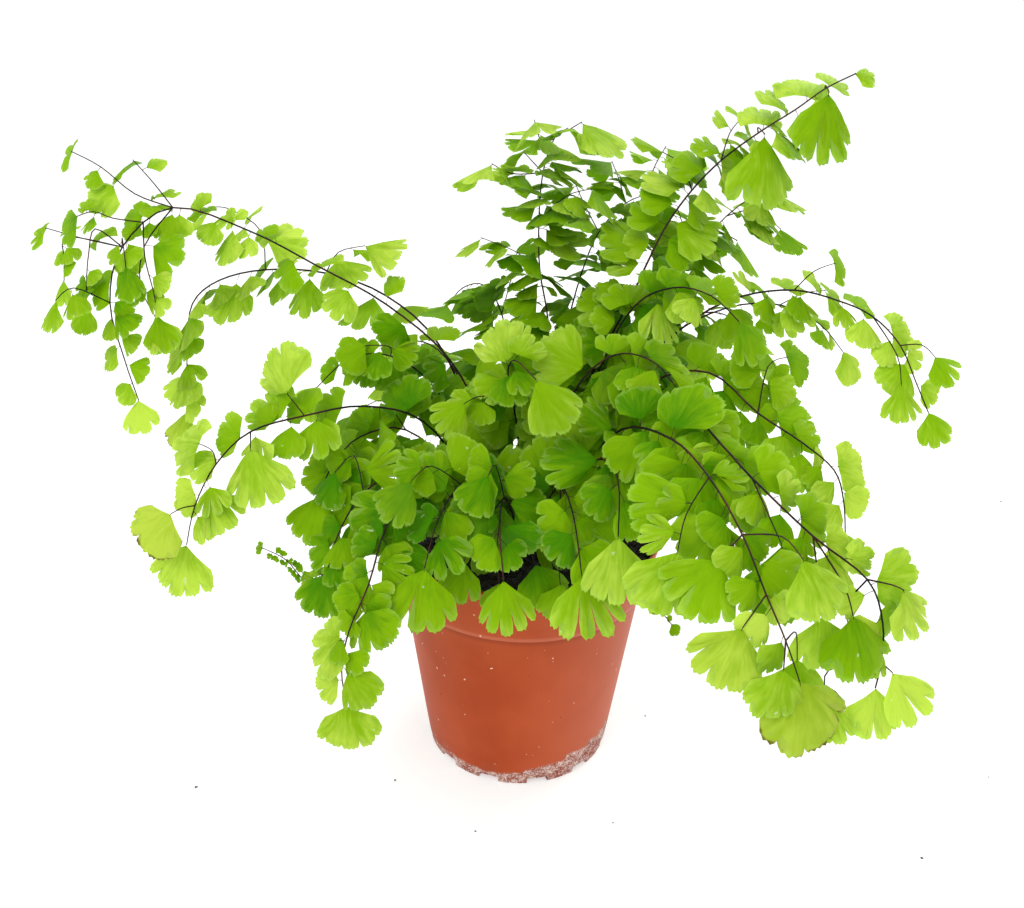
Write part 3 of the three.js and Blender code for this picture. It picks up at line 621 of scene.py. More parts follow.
def lines_of(triangles):
    """The three sides of each triangle."""
    return triangles[:, [[0, 1], [1, 2], [2, 0]]].reshape(-1, 2, 3)


def clear_of_pot(points):
    """Does a leaflet stay above the rim, outside the wall, or over the soil?"""
    spots = np.vstack([points, (points + np.roll(points, -1, 0)) / 2, (points + points[0]) / 2])
    r, z = np.hypot(spots[:, 0], spots[:, 1]), spots[:, 2]
    wall = np.maximum(RIM_RADIUS - (POT_HEIGHT - z) * BAND_SLOPE, BODY_TOP_RADIUS)
    inside = (r < RIM_RADIUS - INSIDE_CLEAR) & (z > SOIL_TOP + FOOT_HEIGHT)
    return bool(((z > POT_HEIGHT + RIM_CLEAR) | (r > wall + WALL_CLEAR) | inside).all())


stem_lines = np.array([[a, b] for s in stems for a, b in zip(s["path"], s["path"][1:])])
line_frond = np.array([s["frond"] for s in stems for _ in s["path"][1:]])
line_middle = stem_lines.mean(1)
line_reach = np.linalg.norm(stem_lines[:, 1] - stem_lines[:, 0], axis=1) / 2 + 2
print("straight pieces of stem:", len(stem_lines))

# %% Room for each leaflet
OWN_MARGIN, SHIELD_MARGIN, KEPT_MARGIN = -1.5, 1.4, 0.8
SWINGS = (0, 0.3, -0.3, 0.6)
ROLLS = (0, 0.35, -0.35, 0.7, -0.7)
# The sizes to try, the layers above and below the sheet that must be clear, and the margin around its edge.
LARGE_FIT = ((1, 0.86, 0.74), (-1.2, 0.0, 1.2), 0.8)
SPRIG_FIT = ((1, 0.85, 0.7), (0,), 0.2)
SMALL_FIT = ((1, 0.8, 0.62), (0,), 0.2)


def is_clear(leaf, points, others, offsets, margin):
    """Is this sheet clear of the leaflets near it and of all stems? Then it is stored with the ball around it."""
    centre, reach = leaf["root"] + leaf["out"] * (LEAF_MIDDLE * leaf["size"]), LEAF_REACH * leaf["size"]
    index = TRIANGLES[len(points)]
    sheets = [placed(leaf, points, margin, h)[index] for h in offsets]
    near = [o for o in others if np.linalg.norm(centre - o["ball"][0]) < reach + o["ball"][1] + 1.2]
    if near:
        mine, theirs = np.concatenate(sheets), np.concatenate([o["sheet"] for o in near])
        if any_cut(lines_of(mine), theirs) or any_cut(lines_of(theirs), mine):
            return False
    close = np.linalg.norm(centre - line_middle, axis=1) < reach + line_reach
    own = close & (line_frond == leaf["frond"])
    if own.any() and any_cut(stem_lines[own], placed(leaf, points, OWN_MARGIN, 0)[index]):
        return False
    foreign = close & (line_frond != leaf["frond"])
    if foreign.any():
        shields = np.concatenate([placed(leaf, points, SHIELD_MARGIN, h)[index]
                                  for h in (-STEM_CLEAR, 0, STEM_CLEAR)])
        if any_cut(stem_lines[foreign], shields):
            return False
    leaf["sheet"], leaf["ball"] = placed(leaf, points, KEPT_MARGIN, 0)[index], (centre, reach)
    return True


def settle(plan, others, fit):
    """The first stance of a leaflet that is clear, or None."""
    scales, offsets, margin = fit
    root = along(plan["stem"]["path"], plan["at"])[0]
    others = [o for o in others if np.linalg.norm(root - o["ball"][0]) < 1.6 * plan["size"] + o["ball"][1] + 2]
    for scale in scales:
        for roll in ROLLS:
            for bend in SWINGS:
                leaf = stand(plan, plan["swing"] + bend, roll)
                leaf["size"] = plan["size"] * scale
                points = edge(leaf)
                kept = placed(leaf, points, KEPT_MARGIN, 0)
                if clear_of_pot(kept) and is_clear(leaf, points, others, offsets, margin):
                    return leaf
    return None


def add_leaflets(made, plans, fit, others=()):
    """Adds each planned leaflet that finds room among those made so far and the others."""
    for plan in plans:
        leaf = settle(plan, [*others, *made], fit)
        if leaf:
            made.append(leaf)


# %% The large leaflets
TIP_BACK, TIP_CLEAR = 0.7, 4
plans, counts = [], [0] * len(FRONDS)
for stem in stems:
    first, spacing, base, tip_size = stem["leaves"]
    total = path_length(stem["path"])
    places = max(math.floor((total - first - TIP_CLEAR) / spacing), 0)
    f = stem["frond"]
    plans.append(make_leaf(stem, total - TIP_BACK, 0, counts[f], tip_size))
    counts[f] += 1
    for i in reversed(range(places)):
        at = first + spacing * (i + 0.3 * draw(f, counts[f], ASK_PLACE))
        plans.append(make_leaf(stem, at, 1 if i % 2 else -1, counts[f], base * (1.08 - 0.2 * i / places)))
        counts[f] += 1
plans.sort(key=lambda plan: plan["side"] != 0)
leaflets = []
add_leaflets(leaflets, plans, LARGE_FIT)
print(len(leaflets), "leaflets found room of", len(plans))

# %% [markdown]
# ## The pot
# The pot is a thin shell pressed in a mould: a cone with a wider band at the rim, a small step where the band
# starts, a rolled lip, and twelve small gaps in its foot that let water out. A lathe shape is one profile turned
# round. Here the rings are laid one by one instead of with Spin, because the gaps in the foot need columns of
# their own, close together at each side of a gap.

# %% Profile of the pot
BAND_LOW_Z, BAND_LOW_RADIUS, BASE_RADIUS = 83.0, 53.8, 41.7
WALL, FLOOR_TOP, RECESS, PAD_RADIUS, FOOT_INNER = 1.6, 4.2, 2.2, 12.0, 36.0

# Radius, height, whether it lifts in a gap, and 1 where it is the inside of the pot.
POT_PROFILE = [
    (PAD_RADIUS, 0, 0, 0), (PAD_RADIUS + 0.4, RECESS, 0, 0), (FOOT_INNER, RECESS, 0, 0),
    (FOOT_INNER + 0.6, 0, 1, 0), (BASE_RADIUS - 0.5, 0, 1, 0), (BASE_RADIUS, 0.5, 1, 0),
    (BASE_RADIUS + 0.35, 3.2, 0, 0),
    *[(BASE_RADIUS + (BODY_TOP_RADIUS - BASE_RADIUS) * k / BAND_LOW_Z, k, 0, 0) for k in (12, 28, 46, 64, 78)],
    (BODY_TOP_RADIUS - 0.1, 82.0, 0, 0), (BODY_TOP_RADIUS + 0.15, 82.6, 0, 0), (BAND_LOW_RADIUS - 0.3, 82.9, 0, 0),
    (BAND_LOW_RADIUS, 83.4, 0, 0), (BAND_LOW_RADIUS + 1.4, 89.0, 0, 0), (RIM_RADIUS - 2.1, 100.0, 0, 0),
    (RIM_RADIUS - 0.45, 106.3, 0, 0), (RIM_RADIUS - 0.1, 107.3, 0, 0), (RIM_RADIUS - 0.3, 107.8, 0, 0),
    (RIM_RADIUS - 0.8, POT_HEIGHT, 0, 0), (RIM_RADIUS - 1.35, 107.8, 0, 1), (RIM_RADIUS - 1.65, 107.2, 0, 1),
    (BAND_LOW_RADIUS - WALL, BAND_LOW_Z + 0.6, 0, 1), (BODY_TOP_RADIUS - WALL, BAND_LOW_Z - 1.4, 0, 1),
    (BASE_RADIUS - WALL + 0.4, FLOOR_TOP, 0, 1),
]
print("profile of the pot:", len(POT_PROFILE), "rows")

# %% Pot
NOTCH_COUNT, NOTCH_WIDTH, NOTCH_HEIGHT, NOTCH_PHASE = 12, 9.0, 2.7, -107.0


def give(mesh, name, values, kind="FLOAT"):
    """Stores one number, or one arrow, for each point."""
    made = mesh.attributes.new(name, kind, "POINT")
    field = "vector" if kind == "FLOAT_VECTOR" else "value"
    made.data.foreach_set(field, np.asarray(values, float).ravel())


def columns():
    """Angles round the pot, and whether each lies in a gap of the foot."""
    half = math.degrees(NOTCH_WIDTH / 2 / BASE_RADIUS)
    for i in range(NOTCH_COUNT):
        middle = NOTCH_PHASE + i * 360 / NOTCH_COUNT
        for a in np.linspace(-half, half, 6):
            yield middle + a, True
        for a in np.linspace(half + 0.25, 360 / NOTCH_COUNT - half - 0.25, 12):
            yield middle + a, False


def lathe(profile, angles):
    """Rings of points for a profile, closed at both ends, and the faces between them, facing out."""
    points, faces = [], []
    n = len(angles)
    for r, z, lifts, _ in profile:
        for a, gap in angles:
            height = NOTCH_HEIGHT + 0.3 * (z > 0.2) if lifts and gap else z
            points.append((r * math.cos(math.radians(a)), r * math.sin(math.radians(a)), height))
    for i in range(len(profile) - 1):
        for k in range(n):
            a, b = i * n + k, i * n + (k + 1) % n
            faces.append((a, b, b + n, a + n))
    last = (len(profile) - 1) * n
    points += [(0, 0, profile[0][1]), (0, 0, profile[-1][1])]
    for k in range(n):
        faces.append((len(points) - 2, (k + 1) % n, k))
        faces.append((len(points) - 1, last + k, last + (k + 1) % n))
    return points, faces


around = list(columns())
pot_points, pot_faces = lathe(POT_PROFILE, around)
clay, clay_tree, clay_finish = new_material("terracotta_plastic")
pot = piece_from("fern_pot", pot_points, pot_faces, [clay])
give(pot.data, "inside", [row[3] for row in POT_PROFILE for _ in around] + [0, 1])
print("pot:", len(pot_points), "points,", len(around), "columns")

# %% [markdown]
# ## Terracotta-coloured plastic
# The wall is orange-brown plastic with a satin skin. Years on a wet bench have left a rough white crust of lime
# round the foot, highest where the water stood, and crumbs of perlite cling here and there. Each is one mask,
# read from Object coordinates so that it stays where it is on the pot: a height that wavers with noise for the
# crust, and rare noise peaks for the crumbs. Painting a picture of the crust would also work, but would hold
# only one pot's crust. The right side is painted paler, as painted light where the light falls on it, and the lip
# is worn pale. The inside is painted darker, as painted shade, with patches of soil stain. A thin painted highlight
# and a thin painted shadow make the small step under the band show.

# %% Tools for finishes
def place_in(tree):
    """Object coordinates: where a spot is on the piece itself."""
    return add_node(tree, "ShaderNodeTexCoord").outputs["Object"]


def noise(tree, scale, detail=3.0, roughness=0.55, at=None):
    made = add_node(tree, "ShaderNodeTexNoise", Scale=scale, Detail=detail, Roughness=roughness,
                    Vector=at or place_in(tree))
    return Number(tree, made.outputs["Fac"])


def blend_colours(tree, share, first, second):
    """A colour between two, by a share from 0 to 1."""
    made = tree.nodes.new("ShaderNodeMix")
    made.data_type = "RGBA"
    for socket, value in zip((made.inputs[0], made.inputs[6], made.inputs[7]), (share, first, second)):
        feed(tree, socket, value)
    return made.outputs[2]


def coated(tree, body, *coats):
    """A colour with coats laid over it in turn, each by its own share."""
    for share, colour in coats:
        body = blend_colours(tree, share, body, colour)
    return body


def attribute(tree, name):
    return Number(tree, add_node(tree, "ShaderNodeAttribute", {"attribute_name": name}).outputs["Fac"])


def bump(tree, height, strength, distance):
    return add_node(tree, "ShaderNodeBump", Strength=strength, Distance=distance, Height=height)


# %% Plastic and lime
# Of these clays, the pale one is painted light for the right side, and the inside one is painted shade.
CLAY_DEEP, CLAY, CLAY_LIT_SIDE, CLAY_INSIDE_SHADE = (
    (0.345, 0.050, 0.011), (0.405, 0.068, 0.019), (0.56, 0.160, 0.095), (0.16, 0.030, 0.018))
LIME_THIN, LIME_THICK, PALE_SPECK = (0.26, 0.060, 0.038), (0.70, 0.56, 0.50), (0.86, 0.62, 0.50)
# The two step colours are a painted highlight and a painted shadow.
DARK_SPECK, STEP_HIGHLIGHT, STEP_SHADOW = (0.09, 0.02, 0.01), (0.66, 0.24, 0.15), (0.17, 0.026, 0.010)
WORN_RIM, SOIL_STAIN = (0.72, 0.40, 0.30), (0.055, 0.012, 0.010)
where = add_node(clay_tree, "ShaderNodeSeparateXYZ", Vector=place_in(clay_tree))
across, height = Number(clay_tree, where.outputs["X"]), Number(clay_tree, where.outputs["Z"])
mottle = noise(clay_tree, 22.0)
crust_line = 0.0042 + 0.014 * (noise(clay_tree, 16.0) - 0.36) + 0.045 * across.step(-0.005, 0.05) * (
    noise(clay_tree, 30.0) - 0.40)
crust = (crust_line + 0.004 * (noise(clay_tree, 120.0) - 0.5) - height).step(-0.0008, 0.0012)
grit = 0.6 * noise(clay_tree, 1300.0, 3.0) + 0.4 * noise(clay_tree, 260.0, 3.0)
lime = blend_colours(clay_tree, grit.step(0.40, 0.66), LIME_THIN, LIME_THICK)
speck = noise(clay_tree, 420.0, 1.0).step(0.765, 0.79)
dark_speck = noise(clay_tree, 170.0, 1.0, at=Arrow(clay_tree, place_in(clay_tree)) * 1.7).step(0.785, 0.80)
# A painted highlight along the step under the band, and a painted shadow just below it.
step_highlight = height.step(0.0818, 0.0830) * (1 - height.step(0.0838, 0.0856))
step_shadow = height.step(0.0790, 0.0816) * (1 - height.step(0.0820, 0.0828))
worn = height.step(0.1045, 0.1072) * noise(clay_tree, 240.0, 3.0).step(0.48, 0.66)
# Inside the pot: painted shade, mottled with patches of soil stain.
stain_and_shade = blend_colours(clay_tree, noise(clay_tree, 60.0).step(0.35, 0.7), SOIL_STAIN, CLAY_INSIDE_SHADE)
# The paler coat on the right side is painted light.
clay_colour = coated(
    clay_tree, CLAY_DEEP, (mottle.step(0.35, 0.65), CLAY), (across.step(-0.005, 0.055) * 0.55, CLAY_LIT_SIDE),
    (crust, lime), (speck * 0.75, PALE_SPECK), (dark_speck * 0.7, DARK_SPECK), (step_highlight * 0.28, STEP_HIGHLIGHT),
    (step_shadow * 0.35, STEP_SHADOW), (worn * 0.55, WORN_RIM), (attribute(clay_tree, "inside"), stain_and_shade))
rough_skin = crust * (0.6 * grit + 0.4) + 0.03 * noise(clay_tree, 900.0) + 0.10 * speck
feed_all(clay_tree, clay_finish, Base_Color=clay_colour, Roughness=0.42 + 0.10 * mottle + 0.35 * crust,
         Normal=bump(clay_tree, rough_skin, 0.8, 0.0006), Specular_IOR_Level=0.08)
print("terracotta nodes:", len(clay_tree.nodes))

# %% [markdown]
# ## The soil
# The pot is filled to a finger's breadth below the rim with black peat, crumbly on top, with a few white grains
# of perlite. Its crumbs are some three thousand small lumps thrown on a bumpy surface. Placing them by hand would
# take days, and a bump map alone would look flat at the rim, where the soil is seen from the side. So a node tree
# scatters one lump over the top, turned and sized by chance from a fixed seed.

# %% Tools for Geometry Nodes
def new_tree(name, inputs):
    """A Geometry Nodes tree with a geometry coming in and one going out, and inputs of its own."""
    tree = bpy.data.node_groups.new(name, "GeometryNodeTree")
    tree.interface.new_socket("Geometry", in_out="INPUT", socket_type="NodeSocketGeometry")
    tree.interface.new_socket("Geometry", in_out="OUTPUT", socket_type="NodeSocketGeometry")
    for label, kind in inputs.items():
        tree.interface.new_socket(label, in_out="INPUT", socket_type="NodeSocket" + kind)
    return tree, tree.nodes.new("NodeGroupInput"), tree.nodes.new("NodeGroupOutput")


def grown(source, tree, values, name):
    """Runs a tree on an object, and returns the result as a plain mesh object."""
    modifier = source.modifiers.new(tree.name, "NODES")
    modifier.node_group = tree
    for socket in tree.interface.items_tree:
        if socket.item_type == "SOCKET" and socket.in_out == "INPUT" and socket.name in values:
            modifier[socket.identifier] = values[socket.name]
    bpy.context.view_layer.update()
    evaluated = source.evaluated_get(bpy.context.evaluated_depsgraph_get())
    mesh = bpy.data.meshes.new_from_object(evaluated)
    used = [i for i, material in enumerate(mesh.materials) if material]
    index = np.zeros(len(mesh.polygons), int)
    mesh.polygons.foreach_get("material_index", index)
    paints = [mesh.materials[i] for i in used]
    mesh.materials.clear()
    for paint in paints:
        mesh.materials.append(paint)
    mesh.polygons.foreach_set("material_index", [used.index(i) for i in index])
    source.modifiers.remove(modifier)
    bpy.data.meshes.remove(source.data)
    mesh.name = name
    made = bpy.data.objects.new(name, mesh)
    scene.collection.objects.link(made)
    return made


def join_all(tree, layers, result):
    """Joins some nodes' geometry into the one that the tree gives back."""
    joined = tree.nodes.new("GeometryNodeJoinGeometry")
    for layer in layers:
        feed(tree, joined.inputs[0], layer)
    feed(tree, result.inputs[0], joined)


def random_arrow(tree, low, high, seed):
    """An arrow for each point, each of its three numbers between a low and a high one."""
    made = add_node(tree, "FunctionNodeRandomValue", {"data_type": "FLOAT_VECTOR"}, Seed=seed)
    made.inputs[0].default_value, made.inputs[1].default_value = low, high
    return Arrow(tree, made.outputs[0])


# %% Soil plug and crumbs
SOIL_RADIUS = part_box("soil")[1].x / MM
soil_rings = [(36.0, FLOOR_TOP + 0.4), (41.0, FLOOR_TOP + 0.4), (50.4, 80.5), (52.0, 84.0), (SOIL_RADIUS - 0.6, 96.0),
              (SOIL_RADIUS - 0.5, 97.4), *[(r, SOIL_TOP) for r in np.linspace(SOIL_RADIUS - 2, 2, 22)]]
peat, peat_tree, peat_finish = new_material("peat")
perlite, perlite_tree, perlite_finish = new_material("perlite")
soil_round = [(a, False) for a in np.linspace(0, 360, 96, endpoint=False)]
soil_points, soil_faces = lathe([(r, z, 0, 0) for r, z in soil_rings], soil_round)
soil = piece_from("soil_plug", soil_points, soil_faces, [peat])

tree, given, result = new_tree("crumbs", {"Crumbs per square metre": "Float", "Crumb size": "Float",
                                          "Perlite per square metre": "Float",
                                          "Peat": "Material", "Perlite": "Material"})
UNEVEN_FROM, CRUMBS_FROM, UNEVENNESS = 0.0975, 0.0955, 0.007
at = Arrow(tree, add_node(tree, "GeometryNodeInputPosition").outputs[0])
height = Number(tree, add_node(tree, "ShaderNodeSeparateXYZ", Vector=at).outputs["Z"])
lumps = Number(tree, add_node(tree, "ShaderNodeTexNoise", Scale=85.0, Detail=3.0, Vector=at).outputs[0]) - 0.5
lift = add_node(tree, "ShaderNodeCombineXYZ", Z=lumps * UNEVENNESS)
rough_top = add_node(tree, "GeometryNodeSetPosition", Geometry=given.outputs["Geometry"],
                     Selection=height > UNEVEN_FROM, Offset=lift)
layers = [rough_top]
for amount, size, paint, seed in (("Crumbs per square metre", 1.0, "Peat", 3),
                                  ("Perlite per square metre", 0.55, "Perlite", 8)):
    lump = add_node(tree, "GeometryNodeMeshIcoSphere", Radius=MM, Subdivisions=1)
    spread = add_node(tree, "GeometryNodeDistributePointsOnFaces", Mesh=rough_top,
                      Density=given.outputs[amount], Seed=seed, Selection=height > CRUMBS_FROM)
    sizes = random_arrow(tree, (0.5, 0.5, 0.35), (1.3, 1.1, 0.8), seed + 1)
    turns = random_arrow(tree, (0, 0, 0), (6.28, 6.28, 6.28), seed + 2)
    scale = sizes * (Number(tree, given.outputs["Crumb size"]) * size)
    copies = add_node(tree, "GeometryNodeInstanceOnPoints", Points=spread, Instance=lump, Scale=scale, Rotation=turns)
    real = add_node(tree, "GeometryNodeRealizeInstances", Geometry=copies)
    layers.append(add_node(tree, "GeometryNodeSetMaterial", Geometry=real, Material=given.outputs[paint]))
join_all(tree, layers, result)
soil = grown(soil, tree, {"Crumbs per square metre": 260000.0, "Crumb size": 1.0, "Perlite per square metre": 6000.0,
                          "Peat": peat, "Perlite": perlite}, "fern_soil")
print("soil:", len(soil.data.polygons), "faces")

# %% Peat and perlite
PEAT_DARK, PEAT_BROWN = (0.006, 0.004, 0.003), (0.030, 0.019, 0.013)
GRAIN_GREY, GRAIN_WHITE = (0.42, 0.36, 0.30), (0.75, 0.72, 0.68)
dark = noise(peat_tree, 130.0)
feed_all(peat_tree, peat_finish, Base_Color=blend_colours(peat_tree, dark.step(0.35, 0.7), PEAT_DARK, PEAT_BROWN),
         Roughness=0.75 + 0.2 * dark, Normal=bump(peat_tree, noise(peat_tree, 1500.0, 4.0), 0.7, 0.0005))
feed_all(perlite_tree, perlite_finish,
         Base_Color=blend_colours(perlite_tree, noise(perlite_tree, 400.0), GRAIN_GREY, GRAIN_WHITE),
         Roughness=0.7 + 0.2 * noise(perlite_tree, 800.0),
         Normal=bump(perlite_tree, noise(perlite_tree, 1800.0), 0.5, 0.0003))
print("peat nodes:", len(peat_tree.nodes), "perlite nodes:", len(perlite_tree.nodes))

# %% [markdown]
# ## Blank leaflets
# The fine leaflet starts as a blank: two thin layers, top and underside, joined along the margin, so that it is a
# closed body and each side can have its own colour. Every point of a blank only knows how far it is across the
# fan, from -1 to 1, how far out from the root, from 0 to 1, which cleft between lobes is nearest, and whether it
# is the tip of a tooth. A node tree gives all blanks their real shapes later. Only the margin has many points,
# because the face of a leaflet is smooth. Three blanks, with three, four and five lobes, are enough.

# %% Blanks
TEETH = (-0.9, -0.68, -0.45, -0.22, 0.0, 0.22, 0.45, 0.68, 0.9)
RINGS = (0.45, 0.82)
HALF_LOBE = 5
blanks = bpy.data.collections.new("leaflet_blanks")
BLANK_LABELS = ("t", "u", "lobe", "s", "cleft", "slit", "tooth", "layer")


def make_blank(lobes):
    """Two fans of faces over one margin. Every column of the margin is a row t, lobe, s, cleft, slit, tooth."""
    margin = []
    for lobe in range(lobes):
        margin.append((-1 + 2 * lobe / lobes, lobe, -1, lobe, int(lobe > 0), 0))
        margin += [(-1 + (2 * lobe + 1 + s) / lobes, lobe, s, lobe + int(s > 0), 0, i % 2)
                   for i, s in enumerate(TEETH)]
    margin.append((1, lobes - 1, 1, lobes, 0, 0))
    inner = margin[::HALF_LOBE]
    points = []

    def put(column, u, layer):
        t, lobe, s, cleft, slit, tooth = column
        points.append((t, u, lobe, s, cleft, slit, tooth * (u == 1), layer))
        return len(points) - 1

    root = put((0, 0, 0, 0, 0, 0), 0, 0)
    rim = [put(column, 1, 0) for column in margin]
    sides = [[put(inner[end], u, 0) for end in (0, -1)] for u in RINGS]
    polygons = []
    for layer in (1, -1):
        near, far = ([left, *(put(column, u, layer) for column in inner[1:-1]), right]
                     for u, (left, right) in zip(RINGS, sides))
        for i in range(len(inner) - 1):
            part = rim[HALF_LOBE * i:HALF_LOBE * (i + 1) + 1]
            strip = [[root, near[i], near[i + 1]], [near[i], far[i], far[i + 1], near[i + 1]],
                     [far[i], *part, far[i + 1]]]
            polygons += [corners[::-layer] for corners in strip]
    mesh = bpy.data.meshes.new(f"leaflet_{lobes}_lobes")
    mesh.from_pydata([(0, 0, 0)] * len(points), [], polygons)
    for label, column in zip(BLANK_LABELS, zip(*points)):
        give(mesh, label, [float(value) for value in column])
    chains = [rim, *([root, sides[0][end], sides[1][end], rim[-end]] for end in (0, 1))]
    folds = {frozenset(pair) for chain in chains for pair in zip(chain, chain[1:])}
    sharp = [frozenset(e.vertices) in folds for e in mesh.edges]
    mesh.attributes.new("sharp_edge", "BOOLEAN", "EDGE").data.foreach_set("value", sharp)
    mesh.polygons.foreach_set("use_smooth", [True] * len(mesh.polygons))
    blanks.objects.link(bpy.data.objects.new(mesh.name, mesh))
    return len(mesh.polygons)


print("faces of the blanks:", [make_blank(lobes) for lobes in (3, 4, 5)])

# %% [markdown]
# ## One tree for every frond
# A frond comes in as bare points and lines. A point is a leaflet's root and carries its size, its stance and the
# numbers of its outline. A line is a stem, a twig or a leaflet's stalk, with its thickness at each point. The tree
# turns the lines into smooth wires, puts a blank on each point, and bends the blanks with one formula. This could be
# done point by point in Python too, but the tree keeps the rule in one place, where its inputs can be tried.

# %% The frond tree: wires
tree, given, result = new_tree("frond", {
    "Blanks": "Collection", "Stem sides": "Int", "Blade thickness": "Float", "Slit depth": "Float",
    "Blade": "Material", "Wire": "Material", "Seed": "Int"})


def named(label, kind="FLOAT"):
    made = add_node(tree, "GeometryNodeInputNamedAttribute", {"data_type": kind}, Name=label)
    return (Arrow if kind == "FLOAT_VECTOR" else Number)(tree, made.outputs["Attribute"])


parts = add_node(tree, "GeometryNodeSeparateGeometry", Geometry=given.outputs["Geometry"],
                 Selection=named("is_leaf"))
line = add_node(tree, "GeometryNodeMeshToCurve", Mesh=parts.outputs["Inverted"])
line = add_node(tree, "GeometryNodeCurveSplineType", {"spline_type": "CATMULL_ROM"}, Curve=line)
line = add_node(tree, "GeometryNodeSetSplineResolution", Geometry=line, Resolution=4)
ring = add_node(tree, "GeometryNodeCurvePrimitiveCircle", Resolution=given.outputs["Stem sides"], Radius=1.0)
wire = add_node(tree, "GeometryNodeCurveToMesh", Curve=line, Profile_Curve=ring, Scale=named("thick"), Fill_Caps=True)
wire = add_node(tree, "GeometryNodeSetMaterial", Geometry=wire, Material=given.outputs["Wire"])
print("nodes for the wires:", len(tree.nodes))

# %% The frond tree: blades
copies = add_node(tree, "GeometryNodeCollectionInfo", Collection=given.outputs["Blanks"],
                  Separate_Children=True, Reset_Children=True)
leaves = add_node(tree, "GeometryNodeInstanceOnPoints", Points=parts.outputs["Selection"],
                  Instance=copies, Pick_Instance=True, Instance_Index=named("blank"))
leaves = add_node(tree, "GeometryNodeRealizeInstances", Geometry=leaves)

t, u, lobe, s, cleft, slit, tooth, layer = (named(label) for label in BLANK_LABELS)
size, spread, skew, cup, wave, phase = (named(label) for label in ("size", "spread", "skew", "cup", "wave", "phase"))
key, stalk, droop = named("key"), named("stalk"), named("droop")


def chance(which, seed):
    """A fraction from 0 to 1 that every point with the same number shares."""
    made = add_node(tree, "FunctionNodeRandomValue", {"data_type": "FLOAT"}, Seed=seed, ID=which)
    return Number(tree, made.outputs[1])


seed = given.outputs["Seed"]
across, inward = t.math("ABSOLUTE"), 1 - s * s
depth = 0.22 + 1.2 * (chance(key * 16 + cleft, seed) ** 2.2)
depth = Number(tree, given.outputs["Slit depth"]) * named("deep") * depth
fan = 1.03 - 0.20 * (across ** 2.4) - 0.20 * across.step(0.78, 1.04)
cut = 1 - depth * (0.35 * slit + 0.65 * (s.math("ABSOLUTE") ** 4.0))
longer = 1 + 0.08 * (chance(key * 16 + lobe + 8, seed) - 0.5) * inward
teeth = 1 + tooth * (0.012 + 0.034 * chance(key * 97 + (t * 40 + 40).math("ROUND"), 7))
r = size * fan * cut * longer * teeth * (1 + SKEW_REACH * skew * t)
angle = spread * t + skew * (1 - t * t)
edge_x, edge_y = r * angle.math("SINE"), r * angle.math("COSINE")
from_root = stalk * size
x = edge_x * u
y = from_root + (edge_y - from_root) * u
edge_lift = size * (wave * (phase + WAVES * t).math("SINE") - cup * t * t)
ripple = 0.065 * size * (phase + lobe * 2.3).math("SINE") * (u ** 3.0) * inward
lift = edge_lift * (u ** 1.4) + ripple - droop * size * u * u
lift = lift + layer * Number(tree, given.outputs["Blade thickness"]) * 0.5
out, face = named("out", "FLOAT_VECTOR"), named("face", "FLOAT_VECTOR")
at = named("root", "FLOAT_VECTOR") + out.cross(face) * x + out * y + face * lift
leaves = add_node(tree, "GeometryNodeSetPosition", Geometry=leaves, Position=at)
leaves = add_node(tree, "GeometryNodeSetMaterial", Geometry=leaves, Material=given.outputs["Blade"])
join_all(tree, (leaves, wire), result)
print("frond tree:", len(tree.nodes), "nodes")

# %% [markdown]
# ## Leaf green
# A maidenhair leaf is thin enough to read through. It is bright yellow-green where light comes through it, darker
# and bluer in the shade of others, paler underneath, with a fine pale margin and veins that fan out from the
# root. Translucency is what makes it alive, so a Translucent shader is mixed with the ordinary surface. The veins and
# the margin follow the leaflet's own numbers, stored on its points, and each leaflet has its own green, with painted
# light and shade laid on it.

# %% Leaf finish
green, leaf_tree, blade = new_material("leaf_green")
shade, dry, t, u, layer = (attribute(leaf_tree, label) for label in ("shade", "dry", "t", "u", "layer"))
GREEN_DEEP, GREEN_FRESH, GREEN_BRIGHT = (0.054, 0.258, 0.000), (0.300, 0.530, 0.003), (0.700, 0.860, 0.120)
RIB_GREEN, MARGIN_GREEN, UNDER_GREEN, DRY_OLIVE = (
    (0.46, 0.66, 0.05), (0.64, 0.84, 0.24), (0.36, 0.52, 0.13), (0.50, 0.50, 0.06))
SCORCH_BROWN, PALE_FLECK, GLOW_GREEN = (0.16, 0.075, 0.022), (0.80, 0.90, 0.60), (0.50, 0.76, 0.006)
SHINE_GREEN = (0.75, 1.0, 0.25)
# The cloud mottling is partly the leaf's own and partly painted highlight: its pale patches stand for soft sheen.
mottle_and_sheen = noise(leaf_tree, 45.0)
patch = noise(leaf_tree, 150.0)
fanned = add_node(leaf_tree, "ShaderNodeCombineXYZ", X=t * 5.0, Y=u * 1.2, Z=shade * 60.0)
streak = noise(leaf_tree, 1.6, 4.0, at=fanned)
# The leaflet's number carries painted light and shade as well as its own green, and tone carries both into the
# colour.
tone = shade + 0.35 * (mottle_and_sheen - 0.5) + 0.30 * (patch - 0.5) + 0.55 * (streak - 0.5) + 0.22 * (u - 0.6)
ribs = (t * 62.0 + mottle_and_sheen * 3.0).math("SINE").step(0.4, 1.0) * u.step(0.05, 0.5)
margin = u.step(0.955, 0.995)
under = layer.step(0.0, -0.4)
scorch = (dry + 0.8 * (noise(leaf_tree, 160.0) - 0.5) + 3.5 * (u - 1.0)).step(0.42, 0.62)
